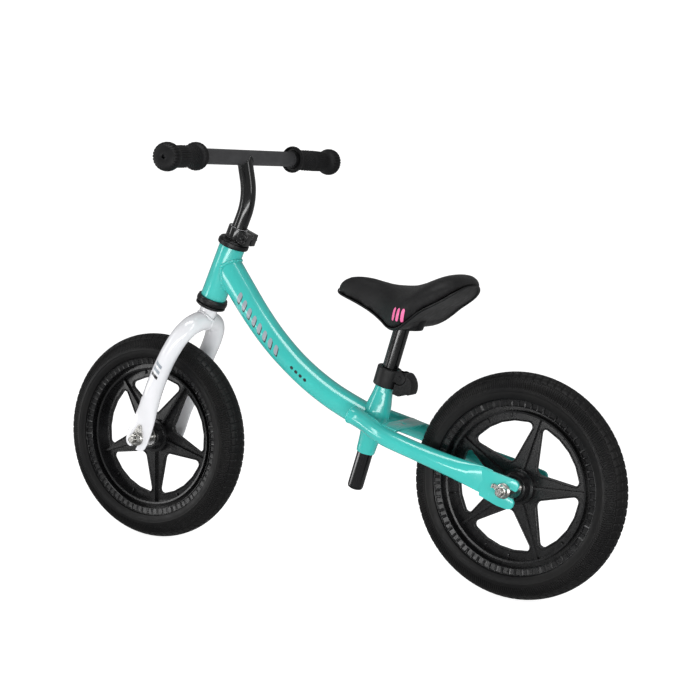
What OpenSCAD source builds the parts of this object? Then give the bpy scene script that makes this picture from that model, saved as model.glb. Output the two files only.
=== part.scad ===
// Balance bike for a small child: welded steel frame, two 12 inch moulded wheels,
// height-adjustable saddle and handlebar.
// Millimetres. +X points to the front, +Y to the rider's left, +Z up.
// The origin is on the ground, midway between the two wheels.

/* [Wheels] */
// Outer diameter of each tyre
tyre_d = 305; // [296:1:310]
// Width of each tyre
tyre_w = 48; // [44:1:50]
// Distance between the two axles
wheelbase = 596; // [590:1:604]
// Number of spokes in each moulded wheel
spokes = 5; // [4, 5, 6]
// Diameter of both axles
axle_d = 10; // [8, 9.5, 10]

/* [Frame] */
// Outer diameter of the head tube
head_d = 38; // [36:1:40]
// Lean of the head tube from upright, in degrees
head_lean = 21.8; // [21:0.2:23]
// Lean of the seat tube from upright, in degrees
seat_lean = 15.6; // [15:0.2:16.4]
// Height of the main tube's section at mid length
main_h = 37; // [35:1:39]
// Width of the main tube's section
main_w = 36; // [34:1:38]
// Outer diameter of the chainstays
stay_d = 25; // [24:0.5:26]
// Hole in the bridge between the stays
bridge_hole_d = 5.5; // [4:0.5:6.5]

/* [Handlebar] */
// Outer diameter of the bar and of the stem
bar_d = 22.2; // [22:0.1:22.4]
// Sweep of the bar's ends towards the rider, in degrees
bar_sweep = 8.8; // [5:0.2:11]
// Outer diameter of a grip's barrel
grip_d = 29; // [27:1:32]
// Outer diameter of a grip's end bulbs
grip_end_d = 40; // [38:1:46]

/* [Seat] */
// Outer diameter of the seat post
post_d = 22.2; // [22:0.1:22.4]
// Greatest width of the saddle
saddle_w = 142; // [130:2:156]

/* [Hidden] */
$fn = 64;

tyre_r = tyre_d / 2;
axle_r = axle_d / 2;
axle_x = wheelbase / 2;
axle_z = tyre_r;
tube_run = 0.05;               // radial running clearance of sliding and turning fits
steer_r = 12.7;                // outer radius of the fork's steerer tube
head_r = head_d / 2;
head_bore = head_r - 2;
head_lo = 230.5;               // head tube's lower end, along the steering axis
head_hi = 313;                 // head tube's upper end
bar_r = bar_d / 2;
post_r = post_d / 2;
seat_tube_r = 12.7;
turq = [0.33, 0.79, 0.76];
blk = [0.06, 0.06, 0.065];
blk2 = [0.12, 0.12, 0.13];
zinc = [0.75, 0.75, 0.72];
head_o = [289.4, 0, 152.5];    // steering axis at axle height
seat_o = [-46.3, 0, 117];      // seat tube's axis at the post's lower end

// frame of the steering axis: local Z runs up the axis, local X points forward
module on_head() { translate(head_o) rotate([0, -head_lean, 0]) children(); }
// frame of the seat tube: local Z runs up the tube, local X points forward
module on_seat() { translate(seat_o) rotate([0, -seat_lean, 0]) children(); }
// a pipe along local Z
module pipe(ro, ri, z0, z1) {
    translate([0, 0, z0]) difference() {
        cylinder(r = ro, h = z1 - z0);
        translate([0, 0, -1]) cylinder(r = ri, h = z1 - z0 + 2);
    }
}
// children turned so that local Z becomes +Y
module along_y() { rotate([-90, 0, 0]) children(); }
module both_sides() { children(); mirror([0, 1, 0]) children(); }

// ---- swept tubes -------------------------------------------------------
function unit(v) = v / norm(v);
function tan_at(p, i) = let (n = len(p) - 1)
    unit(i == 0 ? p[1] - p[0] : i == n ? p[n] - p[n - 1] : p[i + 1] - p[i - 1]);
// one elliptical ring: a is the half size across ref, b the half size along ref
function ring(c, t, ref, a, b, m) =
    let (v = unit(ref - (ref * t) * t), u = cross(v, t))
    [for (k = [0 : m - 1]) c + a * cos(360 * k / m) * u + b * sin(360 * k / m) * v];
// sweep(points, reference direction, [half heights], [half widths], sides, first and last tangent)
module sweep(p, ref, a, b, m = 28, t0 = undef, t1 = undef) {
    n = len(p);
    pts = [for (i = [0 : n - 1]) each ring(p[i],
            i == 0 && !is_undef(t0) ? t0 : i == n - 1 && !is_undef(t1) ? t1 : tan_at(p, i),
            ref, a[i], b[i], m)];
    polyhedron(points = pts, faces = concat(
        [[for (k = [0 : m - 1]) k]],
        [for (i = [0 : n - 2], k = [0 : m - 1])
            [i * m + (k + 1) % m, i * m + k, (i + 1) * m + k, (i + 1) * m + (k + 1) % m]],
        [[for (k = [m - 1 : -1 : 0]) (n - 1) * m + k]]), convexity = 6);
}
// smooth value of a table [[x, y], ...] at x, x rising
function mix_at(tab, x) = lookup(x, tab);
// Catmull-Rom point list through p, s points per span
function cr(p0, p1, p2, p3, t) = 0.5 * ((2 * p1) + (p2 - p0) * t
    + (2 * p0 - 5 * p1 + 4 * p2 - p3) * t * t + (3 * p1 - p0 - 3 * p2 + p3) * t * t * t);
function smooth(p, s) = let (n = len(p) - 1) concat(
    [for (i = [0 : n - 1], k = [0 : s - 1])
        cr(p[max(i - 1, 0)], p[i], p[i + 1], p[min(i + 2, n)], k / s)], [p[n]]);

// ---- main tube ---------------------------------------------------------
main_p = smooth([[188, 0, 424], [153, 0, 378.5], [127, 0, 346.3], [98.5, 0, 315.8], [67, 0, 288.2],
                 [32.7, 0, 263.8], [-4.8, 0, 242.8], [-44.6, 0, 225.7], [-76, 0, 214.5]], 3);
module main_solid(inset = 0) {
    sweep(main_p, [0, 1, 0],
        [for (q = main_p) mix_at([[-76, main_h / 2 + 0.6], [0, main_h / 2], [60, main_h / 2 - 0.2],
            [110, main_h / 2 + 1], [153, main_h / 2 + 2.2], [190, main_h / 2 + 2.6]], q[0]) - inset],
        [for (q = main_p) main_w / 2 - inset], 32);
}
module main_tube() {
    color(turq) difference() {
        main_solid();
        main_solid(2);
        // coped to the head tube in front and to the seat tube behind
        on_head() {
            cylinder(r = head_r, h = 400);
            translate([0, -50, 100]) cube([100, 100, 300]);
        }
        on_seat() {
            cylinder(r = seat_tube_r, h = 300);
            translate([-100, -50, 0]) cube([100, 100, 200]);
        }
    }
}

// ---- head tube and headset --------------------------------------------
module head_tube() {
    color(turq) on_head() pipe(head_r, head_bore, head_lo, head_hi);
}
module headset_cup_lower() {
    color(blk2) on_head() rotate_extrude() polygon([
        [16.5, head_lo - 9.5], [21.6, head_lo - 9.5], [23, head_lo - 8], [23, head_lo - 3.4], [22.2, head_lo - 2.6],
        [22.2, head_lo], [head_bore, head_lo], [head_bore, head_lo + 9], [14, head_lo + 9], [14, head_lo - 1], [16.5, head_lo - 1]]);
}
module headset_cup_upper() {
    color(blk2) on_head() rotate_extrude() polygon([
        [16.5, head_hi + 7.5], [21.8, head_hi + 7.5], [23, head_hi + 6.3], [23, head_hi + 1.4], [22.2, head_hi],
        [head_bore, head_hi], [head_bore, head_hi - 9], [14, head_hi - 9], [14, head_hi + 1], [16.5, head_hi + 1]]);
}
module headset_bearings() {
    color(zinc) on_head() {
        pipe(16.5, steer_r + tube_run, head_lo - 9, head_lo - 1);
        pipe(16.5, steer_r + tube_run, head_hi + 1, head_hi + 7);
    }
}

// ---- seat tube and clamp ------------------------------------------------
seat_lo = 54.7;
seat_hi = 180;
module seat_tube() {
    color(turq) on_seat() difference() {
        rotate_extrude() polygon([[post_r + tube_run, seat_lo], [12.2, seat_lo], [13.4, seat_lo + 8], [13.6, seat_lo + 18],
            [seat_tube_r, seat_lo + 24], [seat_tube_r, seat_hi], [post_r + tube_run, seat_hi]]);
        translate([-16, -1, seat_hi - 24]) cube([8, 2, 30]);
    }
}
cl_lo = 154.5;
cl_hi = 181.5;
pin_c = [-23, 174.5];          // lever pin: rearward of the tube's axis, and height along it
pin_r = 2;
cheek_in = 7.3;
cheek_out = 10.3;
// children drawn in the plane of local X and Z, extruded to both sides of Y = 0
module slab(half) { rotate([90, 0, 0]) linear_extrude(2 * half, center = true) children(); }
module seat_clamp() {
    color(blk2) on_seat() difference() {
        union() {
            translate([0, 0, cl_lo]) cylinder(r = 17.5, h = cl_hi - cl_lo);
            // two cheeks carry the lever's pin
            difference() {
                slab(cheek_out) {
                    translate(pin_c) circle(r = 8.8);
                    translate([-23, 166.5]) square([16, 15]);
                }
                slab(cheek_in) translate([-60, 140]) square([60, 60]);
            }
        }
        translate([0, 0, cl_lo - 1]) cylinder(r = seat_tube_r, h = cl_hi - cl_lo + 12);
        translate([-24, -1, cl_lo - 1]) cube([20, 2, cl_hi - cl_lo + 2]);
        slab(20) translate(pin_c) circle(r = pin_r);
    }
}
module clamp_pin() {
    color(zinc) on_seat() translate([pin_c[0], 0, pin_c[1]]) rotate([90, 0, 0]) {
        translate([0, 0, -cheek_out]) cylinder(r = pin_r, h = 2 * cheek_out);
        for (s = [0, 1]) mirror([0, 0, s]) translate([0, 0, cheek_out]) cylinder(r1 = 3.4, r2 = 2.8, h = 1);
    }
}
module clamp_lever() {
    color(blk2) on_seat() difference() {
        union() {
            // core between the cheeks
            slab(cheek_in - 0.4) {
                translate(pin_c) circle(r = 5);
                lever_outline();
            }
            // full-width thumb pad outside the cheeks
            slab(10.6) difference() {
                lever_outline();
                translate(pin_c) circle(r = 9.4);
                translate([-23, 165.1]) square([30, 30]);
            }
        }
        // hollowed front, clear of the collar
        translate([0, 0, 140]) cylinder(r = 18.3, h = 60);
        slab(20) translate(pin_c) circle(r = pin_r + tube_run);
    }
}
module lever_outline() {
    difference() {
        union() {
            intersection() {
                translate([-22.6, 163]) circle(r = 22.4);
                translate([-50, 156.6]) square([31, 40]);
            }
            polygon([[-10, 150], [-27.5, 150], [-30.6, 151.6], [-33.2, 156.8], [-33, 170], [-10, 170]]);
        }
        // upper front, which would meet the collar as the lever swings up
        polygon([[-10, 175], [-22, 175], [-26.2, 178.3], [-38, 192], [-10, 192]]);
        // finger groove in the underside
        translate([-37.6, 153.4]) circle(r = 4.6);
    }
}

// ---- chainstays, dropouts, bridge ---------------------------------------
stay_p = smooth([[-52, 25, 224], [-64, 26.5, 219.8], [-80, 32, 215], [-98, 40, 208.8], [-118, 46, 202.4], [-140, 48, 196.5],
                 [-170, 48.3, 188.5], [-200, 48, 180.5], [-225, 47, 173.8], [-246, 46, 168.2], [-268, 45.5, 162.2]], 2);
function stay_h(x) = mix_at([[-268, 18.2], [-250, 16.4], [-225, 14.6], [-195, 13.2], [-165, stay_d / 2], [-40, stay_d / 2]], x);
function stay_w(x) = mix_at([[-268, 4.2], [-256, 6.4], [-240, 9.4], [-220, 11.6], [-190, stay_d / 2], [-40, stay_d / 2]], x);
module stay_solid(inset = 0) {
    sweep(stay_p, [0, 1, 0], [for (q = stay_p) stay_h(q[0]) - inset],
        [for (q = stay_p) max(stay_w(q[0]) - inset, 1.2)], 24);
}
module chainstay() {
    color(turq) difference() {
        union() {
            stay_solid();
            translate([-52, 25, 224]) sphere(r = stay_d / 2, $fn = 32);
        }
        stay_solid(1.8);
        main_solid();
        on_seat() cylinder(r = 13.65, h = 300);
        rotate([90, 0, 0]) translate([0, 0, -100]) linear_extrude(200) dropout_outline();
    }
}
module chainstay_left() { chainstay(); }
module chainstay_right() { mirror([0, 1, 0]) chainstay(); }

drop_dir = 197;                // direction of the rear slots, in degrees from +X towards +Z
module dropout_outline() {
    difference() {
        polygon([[-264, 179.8], [-297, 172.4], [-311.4, 169.1], [-315.6, 167.2], [-318, 164], [-318.6, 159.8], [-316.8, 155],
            [-313.4, 151.4], [-312.2, 141.6], [-313, 136.4], [-311.2, 131.8], [-307.4, 129], [-302, 128.6], [-288, 131.6], [-264, 141.2]]);
        // open slot for the axle, with a round end
        translate([-axle_x, axle_z]) rotate(drop_dir) polygon(concat([[40, -axle_r - 0.2], [40, axle_r + 0.2]],
            [for (a = [90 : 15 : 270]) (axle_r + 0.2) * [cos(a), sin(a)]]));
    }
}
module dropout(side) {
    // left plate spans Y 43 to 48
    color(turq) translate([0, side > 0 ? 48 : -43, 0]) rotate([90, 0, 0]) linear_extrude(5) dropout_outline();
}
module rear_dropout_left() { dropout(1); }
module rear_dropout_right() { dropout(-1); }

bridge_c = [-120, 0, 214.6];
module stay_bridge() {
    color(turq) difference() {
        translate(bridge_c) rotate([0, -15, 0]) difference() {
            translate([-12, -46, -1.5]) cube([24, 92, 3]);
            translate([0, 0, -5]) cylinder(d = bridge_hole_d, h = 10);
        }
        both_sides() stay_solid();
    }
}

// ---- wheels -------------------------------------------------------------
rim_out = 118;
module at_rear() { translate([-axle_x, 0, axle_z]) along_y() children(); }
module at_front() { translate([axle_x, 0, axle_z]) along_y() children(); }
tread_w = tyre_w / 2;
sec_c = tyre_r - tread_w;      // centre of the tyre's round section
module tyre() {
    color(blk) rotate_extrude($fn = 128) difference() {
        translate([sec_c, 0]) circle(r = tread_w, $fn = 64);
        // seat of the rim
        polygon([[90, -30], [rim_out - 1.5, -30], [rim_out - 1.5, -18], [rim_out, -18], [rim_out, -14.5], [111, -13], [111, 13],
            [rim_out, 14.5], [rim_out, 18], [rim_out - 1.5, 18], [rim_out - 1.5, 30], [90, 30]]);
        // three shallow grooves round the tread
        for (y = [-9, 0, 9]) translate([tyre_r - 1.6 - abs(y) * 0.19, y - 1.2]) square([6, 2.4]);
    }
}
module window_2d() {
    // opening between two spokes, centred on +X
    half = 180 / spokes;
    hull() {
        for (f = [-1, -0.5, 0, 0.5, 1]) rotate(f * (half - 9.4)) translate([81.4, 0]) circle(r = 6, $fn = 32);
        translate([25.5 / sin(half), 0]) circle(r = 9, $fn = 32);
    }
}
module rim() {
    color(blk) difference() {
        union() {
            rotate_extrude($fn = 128) polygon([
                [99, -15], [101.5, -15.5], [101.5, -7], [108, -7], [108, -16.5], [rim_out, -18], [rim_out, -14.5], [111, -13],
                [111, 13], [rim_out, 14.5], [rim_out, 18], [108, 16.5], [108, 7], [101.5, 7], [101.5, 15.5], [99, 15]]);
            // web with openings between the spokes
            translate([0, 0, -2.5]) linear_extrude(5) difference() {
                circle(r = 100, $fn = 128);
                for (k = [0 : spokes - 1]) rotate((k + 0.5) * 360 / spokes) window_2d();
            }
            // one rib along each spoke
            for (k = [0 : spokes - 1]) rotate([0, 0, k * 360 / spokes]) translate([12, -1.5, -7]) cube([88, 3, 14]);
            translate([0, 0, -20.5]) cylinder(r = 18, h = 41);
            translate([0, 0, -9]) cylinder(r1 = 24, r2 = 24, h = 18);
        }
        translate([0, 0, -30]) cylinder(r = 8.5, h = 60);
        for (s = [-1, 1]) translate([0, 0, s > 0 ? 12.5 : -32.5]) cylinder(r = 13, h = 20);
    }
}
module hub_bearings() {
    color(zinc) for (z = [12.5, -20.9]) difference() {
        translate([0, 0, z]) cylinder(r = 13, h = 8.4);
        translate([0, 0, z - 1]) cylinder(r = axle_r + tube_run, h = 12);
        // dished seals
        translate([0, 0, z > 0 ? z + 7.6 : z - 1]) difference() {
            cylinder(r = 11, h = 1.8);
            translate([0, 0, -1]) cylinder(r = 7.2, h = 4);
        }
    }
}
module hub_sleeve() { color(zinc) pipe(7, axle_r, -12.2, 12.2); }
// z1 is where the full-size shank ends and the slightly smaller stud begins
module axle(z1) {
    color(zinc) rotate_extrude() polygon([[0, -65], [axle_r - 1.1, -65], [axle_r - 0.1, -64], [axle_r - 0.1, -z1], [axle_r, -z1],
        [axle_r, z1], [axle_r - 0.1, z1], [axle_r - 0.1, 64], [axle_r - 1.1, 65], [0, 65]]);
}
module nut(z) {
    // flanged hexagon nut
    translate([0, 0, z]) difference() {
        union() {
            cylinder(r = 10.4, h = 1.8);
            translate([0, 0, 1.8]) cylinder(r = 8.7, h = 7.4, $fn = 6);
        }
        translate([0, 0, -1]) cylinder(r = axle_r, h = 12);
    }
}
module spacer(z1) { pipe(7.5, axle_r, 21.3, z1); }

rear_turn = 37.7;              // resting turn of each wheel's spokes
front_turn = 20;
module rear_tyre() { at_rear() tyre(); }
module rear_rim() { at_rear() rotate([0, 0, rear_turn]) rim(); }
module rear_hub_bearings() { at_rear() hub_bearings(); }
module rear_hub_sleeve() { at_rear() hub_sleeve(); }
module rear_axle() { at_rear() axle(59.4); }
module rear_axle_spacers() { color(zinc) both_sides() at_rear() spacer(43); }
module rear_tab_washers() {
    // round washers with a hooked tab that points forward
    color(zinc) both_sides() at_rear() difference() {
        union() {
            translate([0, 0, 48]) cylinder(r = 10, h = 2);
            rotate([0, 0, -20]) {
                translate([8, -3, 48]) cube([8, 6, 2]);
                translate([15, -3, 48]) cube([2, 6, 4.5]);
            }
        }
        cylinder(r = axle_r, h = 60);
    }
}
module rear_axle_nuts() { color(zinc) both_sides() at_rear() nut(50); }

module front_tyre() { at_front() tyre(); }
module front_rim() { at_front() rotate([0, 0, front_turn]) rim(); }
module front_hub_bearings() { at_front() hub_bearings(); }
module front_hub_sleeve() { at_front() hub_sleeve(); }
module front_axle() { at_front() axle(59); }
blade_in = 40.5;
blade_out = 47.5;
module front_axle_spacers() { color(zinc) both_sides() at_front() spacer(blade_in); }
module front_tab_washers() {
    // pear-shaped retaining tabs that point up the fork leg
    color(zinc) both_sides() at_front() rotate([0, 0, -90 - 12]) difference() {
        translate([0, 0, blade_out]) linear_extrude(2) difference() {
            hull() { circle(r = 10); translate([18, 0]) circle(r = 3.4, $fn = 32); }
            translate([17.6, 0]) circle(r = 1.8);
        }
        cylinder(r = axle_r, h = 60);
    }
}
module front_axle_nuts() { color(zinc) both_sides() at_front() nut(blade_out + 2); }

// ---- fork ---------------------------------------------------------------
// centre line of the left leg: [forward of the steering axis, left, along the axis]
leg_p = smooth([[0, 0, 192.5], [0, 11, 191.8], [0.2, 21, 189], [0.6, 30, 184.6], [1.6, 38.5, 176], [3, 44.5, 165], [4.6, 48.4, 150],
                [6.4, 50.4, 133], [7.8, 51.2, 114], [8.8, 50.8, 94], [9.2, 49.6, 72], [9.6, 47.2, 52],
                [9.9, 44.9, 37], [10.2, 44, 24], [10.5, 44, 8], [10.6, 44, -6], [10.6, 44, -20]], 2);
function leg_a(z) = mix_at([[-20, 17.5], [-6, 19.6], [10, 19.6], [28, 18], [50, 15.2], [72, 13.9], [94, 13.4], [125, 13.1], [165, 13.6], [193, 14.6]], z);
function leg_b(z) = mix_at([[-20, 3.5], [29, 3.5], [40, 5.6], [52, 9], [66, 11.8], [84, 12.8], [130, 13], [193, 14]], z);
module fork_leg() {
    // the section's long side turns from along the axis at the crown to fore and aft at the leg
    color([0.93, 0.93, 0.95]) difference() {
        on_head() leg_body(0);
        on_head() leg_body(2.2);
        on_head() translate([0, 0, 196]) cylinder(r = steer_r, h = 40);
        // slot for the axle, open downwards and to the front
        translate([axle_x, 0, axle_z]) rotate([90, 0, 0]) translate([0, 0, -70]) {
            cylinder(r = axle_r + 0.2, h = 60);
            rotate([0, 0, -60]) translate([0, -axle_r - 0.2, 0]) cube([40, axle_d + 0.4, 60]);
        }
    }
}
function leg_ring(i, inset, m) =
    let (n = len(leg_p), c = leg_p[i],
         t = i == 0 ? [0, 1, 0] : i == n - 1 ? [0, 0, -1] : tan_at(leg_p, i),
         u = [1, 0, 0] - ([1, 0, 0] * t) * t, uu = unit(u), v = cross(t, uu))
    [for (k = [0 : m - 1]) c + (leg_a(c[2]) - inset) * cos(360 * k / m) * uu
        + (leg_b(c[2]) - min(inset, 1.6)) * sin(360 * k / m) * v];
module leg_body(inset) {
    m = 24;
    // the hollow stops above the flattened tip
    n = len(leg_p) - (inset > 0 ? 10 : 0);
    pts = [for (i = [0 : n - 1]) each leg_ring(i, inset, m)];
    polyhedron(points = pts, faces = concat(
        [[for (k = [0 : m - 1]) k]],
        [for (i = [0 : n - 2], k = [0 : m - 1])
            [i * m + (k + 1) % m, i * m + k, (i + 1) * m + k, (i + 1) * m + (k + 1) % m]],
        [[for (k = [m - 1 : -1 : 0]) (n - 1) * m + k]]), convexity = 6);
}
module fork_leg_left() { fork_leg(); }
module fork_leg_right() { mirror([0, 1, 0]) fork_leg(); }
steer_hi = 342;
module fork_steerer() {
    color([0.93, 0.93, 0.95]) on_head() difference() {
        pipe(steer_r, bar_r + tube_run, 196, steer_hi);
        translate([-16, -1.2, steer_hi - 17]) cube([8, 2.4, 30]);
    }
}
module crown_race() {
    color(blk2) on_head() rotate_extrude() polygon([[steer_r, head_lo - 15.5], [18.6, head_lo - 15.5], [22.2, head_lo - 13.4],
        [22.2, head_lo - 10.6], [21, head_lo - 10], [steer_r, head_lo - 10]]);
}
module headset_top_cap() {
    color(blk2) on_head() rotate_extrude() polygon([[steer_r, head_hi + 8], [21.6, head_hi + 8], [21.6, head_hi + 9], [19.4, head_hi + 10.4],
        [steer_r, head_hi + 10.4]]);
}

// ---- stem, bar, grips ---------------------------------------------------
sc_lo = head_hi + 10.6;
module stem_clamp() {
    color(blk) on_head() difference() {
        union() {
            translate([0, 0, sc_lo]) cylinder(r = 15.4, h = steer_hi - sc_lo);
            translate([-27, -13.6, sc_lo]) cube([22, 27.2, steer_hi - sc_lo]);
        }
        translate([0, 0, sc_lo - 1]) cylinder(r = steer_r, h = 40);
        translate([-30, -1.2, sc_lo - 1]) cube([24, 2.4, 40]);
        translate([-21, 0, (sc_lo + steer_hi) / 2]) along_y() {
            translate([0, 0, -20]) cylinder(r = 2.5, h = 40);
            translate([0, 0, 10.2]) cylinder(r = 4.4, h = 10);
        }
    }
}
module stem_clamp_bolt() {
    color(zinc) on_head() translate([-21, 0, (sc_lo + steer_hi) / 2]) along_y() difference() {
        union() {
            translate([0, 0, -16.4]) cylinder(r = 2.5, h = 26.6);
            translate([0, 0, 10.2]) cylinder(r = 4.2, h = 2.9);
            translate([0, 0, -16.8]) difference() {
                cylinder(r = 4.6, h = 3.2, $fn = 6);
                translate([0, 0, -1]) cylinder(r = 2.5, h = 6);
            }
        }
        translate([0, 0, 11.2]) cylinder(r = 2.2, h = 4, $fn = 6);
    }
}
st_end = 360;                  // where the stem starts to bend
st_bend_r = 90;
st_bend = 34;
st_rise = 31.5;
// end of the bend and centre of the bar, in the plane Y = 0
function hd(p, z) = [head_o[0] + p * cos(head_lean) - z * sin(head_lean), 0, head_o[2] + p * sin(head_lean) + z * cos(head_lean)];
bend_end = hd(st_bend_r * (1 - cos(st_bend)), st_end + st_bend_r * sin(st_bend));
up_ang = st_bend - head_lean;
bar_c = bend_end + st_rise * [sin(up_ang), 0, cos(up_ang)];
module stem() {
    color(blk) {
        on_head() pipe(bar_r, bar_r - 1.9, 268, st_end + 1);
        on_head() translate([st_bend_r, 0, st_end]) rotate([90, 0, 0])
            rotate_extrude(angle = st_bend, start = 180 - st_bend, $fn = 96) translate([st_bend_r, 0]) difference() {
                circle(r = bar_r + 0.02);
                circle(r = bar_r - 1.92);
            }
        difference() {
            translate(bend_end) rotate([0, up_ang, 0]) pipe(bar_r, bar_r - 1.9, -1, st_rise);
            translate(bar_c) rotate([90, 0, 0]) cylinder(r = bar_r + 0.05, h = 80, center = true);
        }
    }
}
module stem_plug() {
    color(blk2) on_head() difference() {
        union() {
            translate([0, 0, 268]) cylinder(r = bar_r - 1.9, h = 14);
            translate([0, 0, 265]) cylinder(r1 = bar_r - 2.4, r2 = bar_r - 0.6, h = 3);
        }
        translate([0, 0, 260]) cylinder(r = 5, h = 30);
    }
}
bar_mid = 99.3;                // half length of the straight middle of the bar
bar_bend_r = 70;
bar_end = 104;                 // length of the swept end beyond its bend
// frame of the left swept end: local Z runs outwards along the bar
module on_bar_end() {
    translate(bar_c + [0, bar_mid, 0]) rotate([0, -7.8, 0]) translate([-bar_bend_r, 0, 0])
        rotate([0, 0, bar_sweep]) translate([bar_bend_r, 0, 0]) rotate([-90, 0, 0]) children();
}
module half_bar() {
    translate(bar_c + [0, bar_mid, 0]) rotate([0, -7.8, 0]) translate([-bar_bend_r, 0, 0])
        rotate_extrude(angle = bar_sweep, $fn = 96) translate([bar_bend_r, 0]) difference() {
            circle(r = bar_r + 0.02);
            circle(r = bar_r - 1.82);
        }
    on_bar_end() pipe(bar_r, bar_r - 1.8, -1, bar_end);
}
module handlebar() {
    color([0.16, 0.16, 0.17]) {
        translate(bar_c) rotate([90, 0, 0]) pipe(bar_r, bar_r - 1.8, -bar_mid - 1, bar_mid + 1);
        both_sides() half_bar();
    }
}
module grip() {
    gr = grip_d / 2;
    ge = grip_end_d / 2;
    color(blk) on_bar_end() rotate_extrude() polygon([
        [bar_r, 10.5], [13.6, 10.5], [13.6, 14.5], [ge - 3, 14.5], [ge - 3, 11], [ge - 1, 10.5], [ge, 12.5], [ge, 16.5], [ge - 2.4, 19.6],
        [gr + 1, 21.4], [gr, 24], [gr + 0.8, 45], [gr + 1, 60], [gr, 84], [gr + 1.6, 87.4], [ge - 3, 90.4], [ge - 0.6, 93.4],
        [ge, 98], [ge - 0.8, 102.6], [ge - 3.6, 106.6], [ge - 8, 109], [3, 109.6], [3, bar_end + 0.4], [bar_r, bar_end + 0.4]]);
}
module grip_left() { grip(); }
module grip_right() { mirror([0, 1, 0]) grip(); }

// ---- saddle -------------------------------------------------------------
post_hi = 256;
module seat_post() {
    color(blk) on_seat() difference() {
        pipe(post_r, post_r - 1.7, 4, post_hi);
        translate([0, 0, 247]) rotate([90, 0, 0]) cylinder(r = 2.5, h = 40, center = true);
    }
}
module seat_post_plug() {
    color(blk2) on_seat() {
        translate([0, 0, 4]) cylinder(r = post_r - 1.7, h = 16);
        rotate_extrude() polygon([[0, 0], [post_r - 3.6, 0], [post_r - 1.2, 1.2], [post_r, 4], [0, 4]]);
    }
}
// outline tables: x, value
sad_x = [-9.4, -10.5, -13, -18, -26, -36, -48, -60, -72, -84, -96, -108, -120, -132, -144, -156, -168, -180, -190, -198, -205, -210, -213, -214.5];
function sad_half(x) = saddle_w / 142 * lookup(x, [[-214.5, 8], [-213, 22], [-210, 33], [-205, 45], [-198, 55], [-190, 62], [-180, 67.4], [-168, 70.4],
    [-156, 71], [-144, 68.6], [-132, 62.5], [-120, 53], [-108, 43], [-96, 34.4], [-84, 28.4], [-72, 24.6], [-60, 22.4], [-48, 21], [-36, 19.8],
    [-26, 18], [-18, 14.8], [-13, 10.6], [-10.5, 6.6], [-9.4, 3]]);
function sad_top(x) = lookup(x, [[-214.5, 417], [-213, 420], [-210, 423.4], [-205, 426.4], [-198, 428], [-190, 427.8], [-180, 425], [-168, 420],
    [-156, 414.8], [-144, 410.8], [-132, 408.4], [-120, 407.2], [-108, 407], [-96, 407.8], [-84, 409.6], [-72, 412], [-60, 414], [-48, 415], [-36, 414.6],
    [-26, 412.6], [-18, 408.6], [-13, 404.6], [-10.5, 401], [-9.4, 398]]);
function sad_seam(x) = lookup(x, [[-214.5, 411], [-213, 409.4], [-210, 406], [-205, 401], [-198, 395], [-190, 389.5], [-180, 383.5], [-168, 376],
    [-156, 366.4], [-144, 357.4], [-132, 351.4], [-120, 349.4], [-108, 350.6], [-96, 356.4], [-84, 362.4], [-72, 368], [-60, 373], [-48, 377.6], [-36, 381.8],
    [-26, 385], [-18, 387.6], [-13, 389.6], [-10.5, 391.4], [-9.4, 393]]);
// upper section of the saddle: half round, squarer where it is wide
function cover_ring(x, m) = let (w = sad_half(x), z0 = sad_seam(x), h = sad_top(x) - sad_seam(x))
    [for (k = [0 : m]) let (a = 180 * k / m, c = cos(a), s = sin(a))
        [x, w * sign(c) * pow(abs(c), 0.8), z0 + h * pow(max(s, 0), 0.72)]];
module loft(rings) {
    n = len(rings);
    m = len(rings[0]);
    polyhedron(points = [for (r = rings) each r], faces = concat(
        [[for (k = [m - 1 : -1 : 0]) k]],
        [for (i = [0 : n - 2], k = [0 : m - 1])
            [i * m + k, i * m + (k + 1) % m, (i + 1) * m + (k + 1) % m, (i + 1) * m + k]],
        [[for (k = [0 : m - 1]) (n - 1) * m + k]]), convexity = 8);
}
module saddle_cover() {
    color(blk) difference() {
        loft([for (x = sad_x) cover_ring(x, 20)]);
        // room for the raised middle of the base
        on_seat() translate([0, 0, 200]) cylinder(r = 15, h = 58.4);
        socket();
    }
}
// lower shell: hangs under the cover inside its edge, deepest round the post
function base_drop(x) = lookup(x, [[-214.5, 1.8], [-205, 2.2], [-190, 2.6], [-168, 3], [-132, 3.4], [-60, 3], [-30, 2.6], [-9.4, 1.4]]);
// rounded socket round the post, under the base
module socket() { translate([-126, 0, 345.4]) cylinder(r = 21, h = 7); }
function base_ring(x, m) = let (w = max(sad_half(x) - 2.2, 1.4), z0 = sad_seam(x), h = base_drop(x))
    [for (k = [0 : m]) let (a = -180 * k / m, c = cos(a), s = sin(a))
        [x, w * sign(c) * pow(abs(c), 0.7), z0 + h * min(s, 0) * 1]];
module saddle_base() {
    color(blk2) difference() {
        union() {
            loft_rev([for (x = [for (q = sad_x) if (q < -12) q]) base_ring(x, 16)]);
            on_seat() translate([0, 0, 240]) cylinder(r = 15, h = 18.4);
            socket();
        }
        on_seat() translate([0, 0, 200]) cylinder(r = post_r, h = post_hi - 200);
        on_seat() translate([0, 0, 247]) rotate([90, 0, 0]) cylinder(r = 2.5, h = 60, center = true);
        // finger hole at the tail
        translate([-197, 0, 380]) rotate([0, 40, 0]) cylinder(r = 4, h = 60, center = true);
    }
}
module loft_rev(rings) {
    n = len(rings);
    m = len(rings[0]);
    polyhedron(points = [for (r = rings) each r], faces = concat(
        [[for (k = [0 : m - 1]) k]],
        [for (i = [0 : n - 2], k = [0 : m - 1])
            [i * m + (k + 1) % m, i * m + k, (i + 1) * m + k, (i + 1) * m + (k + 1) % m]],
        [[for (k = [m - 1 : -1 : 0]) (n - 1) * m + k]]), convexity = 8);
}
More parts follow.
